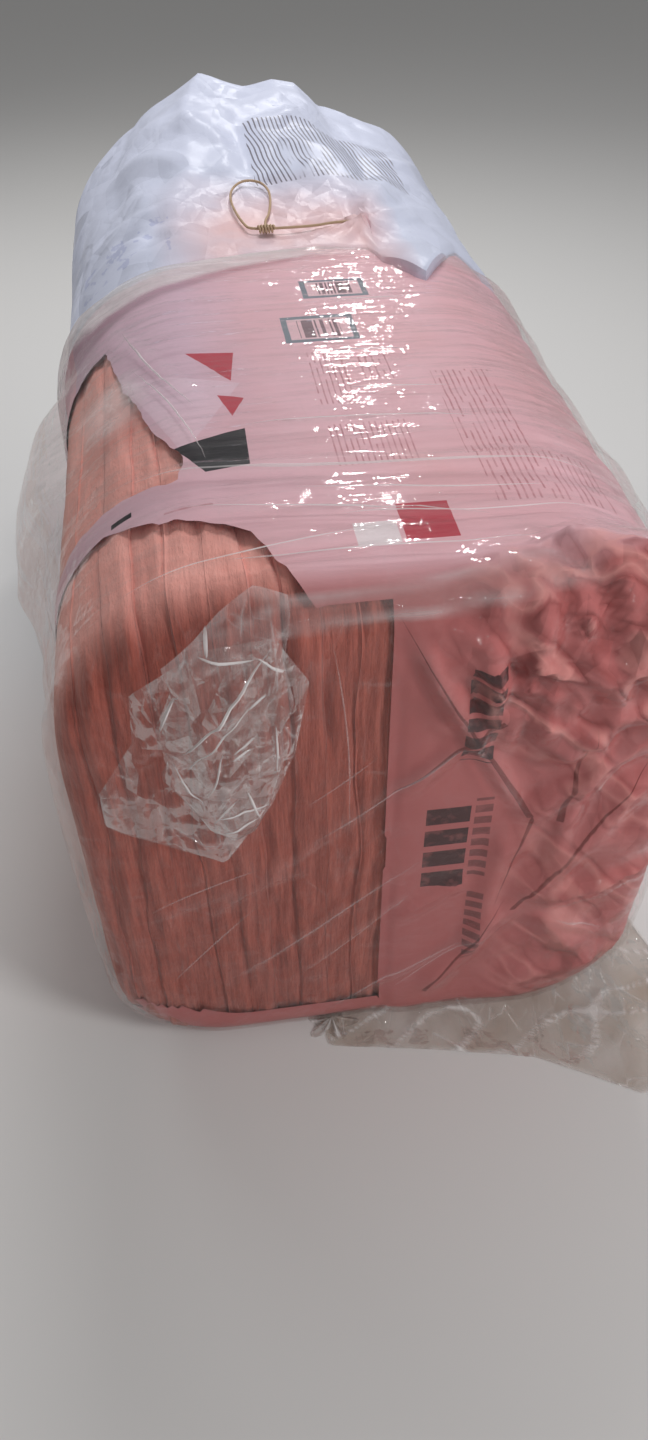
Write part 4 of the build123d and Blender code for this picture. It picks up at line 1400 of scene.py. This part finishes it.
def sleeve_material(colours):
    """Thin pink film with faded print: bar labels, blocks of small print, plain patches and stencil bars,
    with painted glare, painted shade and painted highlights.
    """
    material, tree, place = new_material("printed_sleeve")
    x, y, z = add_node(tree, "SeparateXYZ", inputs={0: place}).outputs
    above = maths(tree, "GREATER_THAN", z, BALE_TOP - 0.075)
    before = maths(tree, "LESS_THAN", y, 0.012 - HALF_LENGTH)

    def bar_field(pitch, share, middle, size):
        return times(tree, stripes(tree, z, pitch, share), box_mask(tree, x, z, middle, size))

    cloud = noise_node(tree, place, (6, 4, 5), 3)
    base = mix_colour(tree, ramp(tree, cloud, 0.35, 0.7), tuple(colours.sleeve), CLOUDED_PINK)
    lilac = times(tree, ramp(tree, y, -0.56, -0.44, 0.0, 0.35), ramp(tree, x, 0.06, -0.16))
    lavender = times(tree, ramp(tree, x, -0.04, -0.13), ramp(tree, y, -0.40, -0.28, 0.0, 0.7))
    base = over(tree, base, LILAC, highest(tree, lilac, lavender), above)
    base = over(tree, base, PALE_LILAC, corner_mask(tree, x, y, PALE_FLAP), above, 0.45)
    # Painted glare: a near-white box on the top by the red square.
    base = over(tree, base, GLARE_WHITE, box_mask(tree, x, y, *GLARE_BOX), above, 0.75)
    # Painted shade: the near end is darkened to deep red, and so is a strip along the foot of the near half.
    end = ramp(tree, y, 0.040 - HALF_LENGTH, 0.010 - HALF_LENGTH, 0.0, 0.9)
    low = times(tree, ramp(tree, z, 0.10, 0.05, 0.0, 0.9), ramp(tree, y, -0.20, -0.50))
    base = over(tree, base, SHADED_END_RED, highest(tree, end, low))
    # Painted shade: dark slivers along the folds of the near end.
    fold_shade = highest(tree, *[corner_mask(tree, x, z, corners) for corners in FOLD_SHADE_SLIVERS])
    base = over(tree, base, FOLD_SHADE_RED, fold_shade, before, 0.75)

    small = highest(tree, *[text_block(tree, x, y, *block) for block in SMALL_PRINT],
                    text_block(tree, y, x, *SIDEWAYS_PRINT))
    wear = ramp(tree, noise_node(tree, place, (70, 70, 70), 2), 0.35, 0.6, 0.35, 1.0)
    base = over(tree, base, PRINT_RED, small, above, wear, 0.62)

    frames, insides, codes = [], [], []
    for middle, (wide, deep) in BAR_LABELS:
        frames.append(box_mask(tree, x, y, middle, (wide, deep)))
        insides.append(box_mask(tree, x, y, middle, (wide - 0.012, deep - 0.012)))
        codes.append(times(tree, by_chance(tree, step_number(tree, x, BAR_PITCH), 0.55),
                           box_mask(tree, x, y, middle, (wide - 0.032, deep - 0.018))))
    inner = highest(tree, *insides)
    ring = maths(tree, "SUBTRACT", highest(tree, *frames), inner)
    base = over(tree, base, FRAME_TEAL, ring, above, 0.85)
    base = over(tree, base, LABEL_PINK, inner, above, 0.35)
    base = over(tree, base, BAR_INK, highest(tree, *codes), above, 0.8)

    reds = highest(tree, *[corner_mask(tree, x, y, corners) for corners in RED_CORNERS],
                   box_mask(tree, x, y, *RED_SQUARE))
    base = over(tree, base, PATCH_RED, reds, above)
    black = highest(tree, *[corner_mask(tree, x, y, corners) for corners in BLACK_CORNERS],
                    box_mask(tree, x, y, *BLACK_MARK))
    base = over(tree, base, PATCH_BLACK, black, above)

    stencil = highest(tree, *[bar_field(*bars) for bars in STENCIL_BARS])
    faint = highest(tree, *[bar_field(*bars) for bars in FAINT_BARS])
    ink = times(tree, highest(tree, stencil, times(tree, faint, 0.6)), before)
    base = over(tree, base, STENCIL_INK, ink, ramp(tree, wear, 0.35, 0.7, 0.7, 1.0), 0.9)

    fine = noise_node(tree, place, (40, 130, 40), 3)
    crush = painted(tree, "crush")
    wrinkles = noise_node(tree, mapped(tree, place, (1, 1, 1), (0, 0.7, 0)), (30, 30, 8), 1.5, 0.45, 0.15)
    # Painted shade in the wrinkles' valleys and painted highlights on their crests, where the film is
    # crushed.
    valley_shade = ramp(tree, away_from(tree, wrinkles, 0.46), 0.0, 0.060, 0.50, 0.0)
    crests = ramp(tree, away_from(tree, wrinkles, 0.57), 0.0, 0.070, 0.50, 0.0)
    base = over(tree, base, VALLEY_SHADE_RED, valley_shade, crush)
    base = over(tree, base, CREST_HIGHLIGHT_PINK, crests, crush)
    normal = facet_turn(tree, place, (30, 30, 15), (0, 0.75, 0), times(tree, crush, 0.45))
    normal = facet_turn(tree, place, (66, 66, 34), (0, 0.6, 0), times(tree, crush, 0.40), normal)
    folds = times(tree, maths(tree, "SUBTRACT", crests, valley_shade), times(tree, crush, 0.6))
    relief = plus(tree, times(tree, fine, 0.2), folds)
    finish(tree, "BsdfPrincipled", {
        "Base Color": base, "Roughness": 0.45, "Specular IOR Level": 0.3,
        "Normal": bump_node(tree, relief, 0.6, 0.004, normal)})
    return material


# Colours that the clear film lets through, thin and in its loose floor folds, and of its milky white, which
# also carries painted highlights
THIN_TINT = (0.985, 0.975, 0.97, 1)
DEEP_TINT = (0.74, 0.67, 0.61, 1)
VEIL_AND_HIGHLIGHT_WHITE = (0.86, 0.82, 0.82, 1)


def clear_material():
    """Glossy clear film: nearly all shows through, milky in folds, with painted highlights along creases, and
    sharp glints.
    """
    material, tree, place = new_material("clear_film")
    crush, milk_and_highlight = painted(tree, "crush"), painted(tree, "milk_and_highlight")
    ripples = noise_node(tree, place, (11, 85, 34), 1.5, 0.5)
    broad = noise_node(tree, place, (24, 40, 40), 3)
    long_cells = creases_node(tree, place, (30, 14, 12), (0, 0.7, 0))
    short_cells = creases_node(tree, place, (60, 40, 34), (0, 0.7, 0))
    tents = plus(tree, maths(tree, "MINIMUM", long_cells, 0.22),
                 times(tree, maths(tree, "MINIMUM", short_cells, 0.2), 0.5))
    height = plus(tree, times(tree, ripples, 1.7), broad, times(tree, tents, crush, 5.0))
    tilted = facet_turn(tree, place, (46, 30, 26), (0, 0.7, 0), times(tree, crush, 0.85))
    normal = bump_node(tree, height, 0.8, 0.0022, tilted)
    # Milky lines on the cells' creases, partly the film's whitened folds and partly painted highlights.
    lines = highest(tree, ramp(tree, long_cells, 0.0, 0.035, 1.0, 0.0),
                    ramp(tree, short_cells, 0.0, 0.030, 0.55, 0.0))
    lines = times(tree, lines, crush, ramp(tree, broad, 0.45, 0.62, 0.0, 0.26))
    veil_and_highlight = plus(tree, times(tree, milk_and_highlight, ramp(tree, broad, 0.25, 0.75, 0.8, 1.2)), lines)
    through = mix_colour(tree, painted(tree, "deep"), THIN_TINT, DEEP_TINT)
    clear = add_node(tree, "BsdfTransparent", inputs={"Color": through}).outputs[0]
    haze_and_highlight = add_node(tree, "BsdfDiffuse", inputs={"Color": VEIL_AND_HIGHLIGHT_WHITE, "Normal": normal}).outputs[0]
    gloss = add_node(tree, "BsdfGlossy", inputs={"Color": (1, 1, 1, 1), "Roughness": 0.06, "Normal": normal})
    body = add_node(tree, "MixShader", inputs={0: veil_and_highlight, 1: clear, 2: haze_and_highlight}).outputs[0]
    shine = add_node(tree, "Fresnel", inputs={"IOR": 1.33, "Normal": normal}).outputs[0]
    finish(tree, "MixShader", {0: maths(tree, "MINIMUM", shine, 0.30), 1: body, 2: gloss.outputs[0]})
    return material


# Colours of the white bag, besides the one that a user would change, and the boxes of its print and blots
PINK_BELOW = (0.82, 0.52, 0.51, 1)
LINE_GREY = (0.13, 0.11, 0.13, 1)
BLOT_BLUE = (0.25, 0.28, 0.55, 1)
PRINT_LINES = ((0.080, 0.335), (0.20, 0.18))
BLOTS = ((-0.19, 0.12), (0.11, 0.09))


def white_material(colours):
    """Bluish white film with a pink tint where it lies on the sleeve, and faint grey print lines."""
    material, tree, place = new_material("white_film")
    x, y = add_node(tree, "SeparateXYZ", inputs={0: place}).outputs[:2]
    cloud = noise_node(tree, place, (9, 9, 9), 3)
    base = over(tree, tuple(colours.white), PINK_BELOW, ramp(tree, y, 0.27, 0.12),
                ramp(tree, x, -0.16, -0.06), ramp(tree, x, 0.14, 0.09), ramp(tree, cloud, 0.3, 0.6, 0.5, 1.0))
    slant = plus(tree, x, times(tree, y, 0.16), times(tree, noise_node(tree, place, (6, 6, 6), 2), 0.02))
    gaps = ramp(tree, noise_node(tree, place, (22, 7, 9), 2), 0.34, 0.42)
    base = over(tree, base, LINE_GREY, stripes(tree, slant, 0.0062, 0.32), box_mask(tree, x, y, *PRINT_LINES),
                gaps, 0.85)
    blots = ramp(tree, noise_node(tree, place, (60, 60, 60), 2), 0.56, 0.6)
    base = over(tree, base, BLOT_BLUE, blots, box_mask(tree, x, y, *BLOTS), 0.30)
    cells = creases_node(tree, place, (11, 9, 11), (0.3, 0.2, 0.5))
    small_cells = creases_node(tree, place, (34, 26, 34), (0.1, 0.5, 0.2))
    patches = ramp(tree, noise_node(tree, place, (8, 8, 8), 2), 0.45, 0.62)
    small = times(tree, maths(tree, "MINIMUM", small_cells, 0.25), patches, 0.5)
    fine = times(tree, noise_node(tree, place, (70, 70, 70), 3), 0.08)
    height = plus(tree, maths(tree, "MINIMUM", cells, 0.25), small, fine)
    normal = facet_turn(tree, place, (12, 9, 12), (0.4, 0.3, 0.9), 0.33)
    normal = facet_turn(tree, place, (34, 26, 34), (0.2, 0.6, 0.3), times(tree, patches, 0.26), normal)
    finish(tree, "BsdfPrincipled", {
        "Base Color": base, "Roughness": 0.40, "Specular IOR Level": 0.35,
        "Normal": bump_node(tree, height, 0.8, 0.007, normal)})
    return material


STRAND_SHADE = (0.42, 0.27, 0.15, 1)
STRANDS_A_METRE = 2600.0


def cord_material(colours, name):
    """Twisted string: slanting strands in light and dark."""
    material, tree, place = new_material(name)
    x, y, z = add_node(tree, "SeparateXYZ", inputs={0: place}).outputs
    twist = plus(tree, x, y, times(tree, z, 1.3))
    share = ramp(tree, maths(tree, "SINE", times(tree, twist, STRANDS_A_METRE)), -1.0, 1.0)
    base = mix_colour(tree, share, STRAND_SHADE, tuple(colours.cord))
    finish(tree, "BsdfPrincipled", {
        "Base Color": base, "Roughness": 0.8, "Normal": bump_node(tree, share, 0.6, 0.0006)})
    return material


# Stage


def floor_material():
    """Pale matt floor."""
    material, tree = new_material("stage_floor")[:2]
    finish(tree, "BsdfPrincipled", {"Base Color": (0.72, 0.71, 0.70, 1), "Roughness": 0.9,
                                    "Specular IOR Level": 0.1})
    return material


# Lamps: name, place, aim, width, height and power in watts, and whether gloss shows them
LAMPS = [
    ("key", (0.2, 1.1, 2.5), (0, -0.1, 0.4), 0.9, 0.7, 27, False),
    ("glint", (0.42, 1.80, 1.80), (0, -0.3, 0.5), 0.14, 0.10, 6, True),
    ("rake", (0.98, -1.50, 1.25), (0, -0.5, 0.3), 0.4, 0.4, 12, False),
    ("fill", (-1.4, 1.8, 1.5), (-0.2, 0.2, 0.3), 0.9, 0.9, 7, False),
    ("face_glint", (-0.3, -2.6, 0.95), (-0.1, -0.6, 0.45), 0.08, 0.08, 2.2, True),
]
WORLD_STRENGTH = 0.24


def add_lamp(name, place, aim, width, height, power, glossy):
    """A soft rectangular lamp that points at a spot."""
    bpy.ops.object.light_add(type="AREA", location=place)
    lamp = active()
    lamp.name = name
    lamp.rotation_euler = (Vector(aim) - Vector(place)).to_track_quat("-Z", "Y").to_euler()
    lamp.data.shape = "RECTANGLE"
    lamp.data.size, lamp.data.size_y = width, height
    lamp.data.energy = power
    lamp.visible_glossy = glossy


class BALE_OT_stage(bpy.types.Operator):
    """Sets up the floor, the lamps, the world and the camera"""

    bl_idname = "bale.stage"
    bl_label = "Stage"

    def execute(self, context):
        bpy.ops.object.select_all(action="DESELECT")
        bpy.ops.mesh.primitive_plane_add(size=40)
        floor = active()
        floor.name = "stage_floor"
        floor.data.materials.append(floor_material())

        for lamp in LAMPS:
            add_lamp(*lamp)

        world = bpy.data.worlds.new("studio")
        context.scene.world = world
        world.use_nodes = True
        background = world.node_tree.nodes["Background"]
        background.inputs["Color"].default_value = (1, 1, 1, 1)
        background.inputs["Strength"].default_value = WORLD_STRENGTH

        bpy.ops.object.camera_add()
        camera = active()
        turn = (Matrix.Rotation(math.radians(-CAMERA_RIGHT), 4, "Z")
                @ Matrix.Rotation(math.radians(90 - CAMERA_DOWN), 4, "X")
                @ Matrix.Rotation(math.radians(CAMERA_ROLL), 4, "Z"))
        camera.matrix_world = Matrix.Translation(CAMERA_AT) @ turn
        camera.data.lens = CAMERA_LENS
        camera.data.sensor_width = 36
        camera.data.clip_start = 0.01
        context.scene.camera = camera
        context.scene.view_settings.view_transform = "Standard"
        return {"FINISHED"}


class BALE_PT_panel(bpy.types.Panel):
    """Lists the bale's operators and settings"""

    bl_idname = "BALE_PT_panel"
    bl_label = "Insulation bale"
    bl_space_type = "VIEW_3D"
    bl_region_type = "UI"
    bl_category = "Bale"

    def draw(self, context):
        for name in STEPS:
            self.layout.operator("bale." + name)
        for group in (context.scene.bale_sizes, context.scene.bale_colours):
            for name in group.__annotations__:
                self.layout.prop(group, name)


STEPS = ("batts", "sleeve", "clear_bag", "white_bag", "draw_cord", "stage")
CLASSES = (BaleSizes, BaleColours, BALE_OT_batts, BALE_OT_sleeve, BALE_OT_clear_bag, BALE_OT_white_bag,
           BALE_OT_draw_cord, BALE_OT_stage, BALE_PT_panel)


def register():
    for cls in CLASSES:
        bpy.utils.register_class(cls)
    bpy.types.Scene.bale_sizes = bpy.props.PointerProperty(type=BaleSizes)
    bpy.types.Scene.bale_colours = bpy.props.PointerProperty(type=BaleColours)


def unregister():
    del bpy.types.Scene.bale_sizes
    del bpy.types.Scene.bale_colours
    for cls in reversed(CLASSES):
        bpy.utils.unregister_class(cls)


def main():
    """Builds everything in order."""
    register()
    for name in STEPS:
        getattr(bpy.ops.bale, name)()


if __name__ == "__main__":
    main()
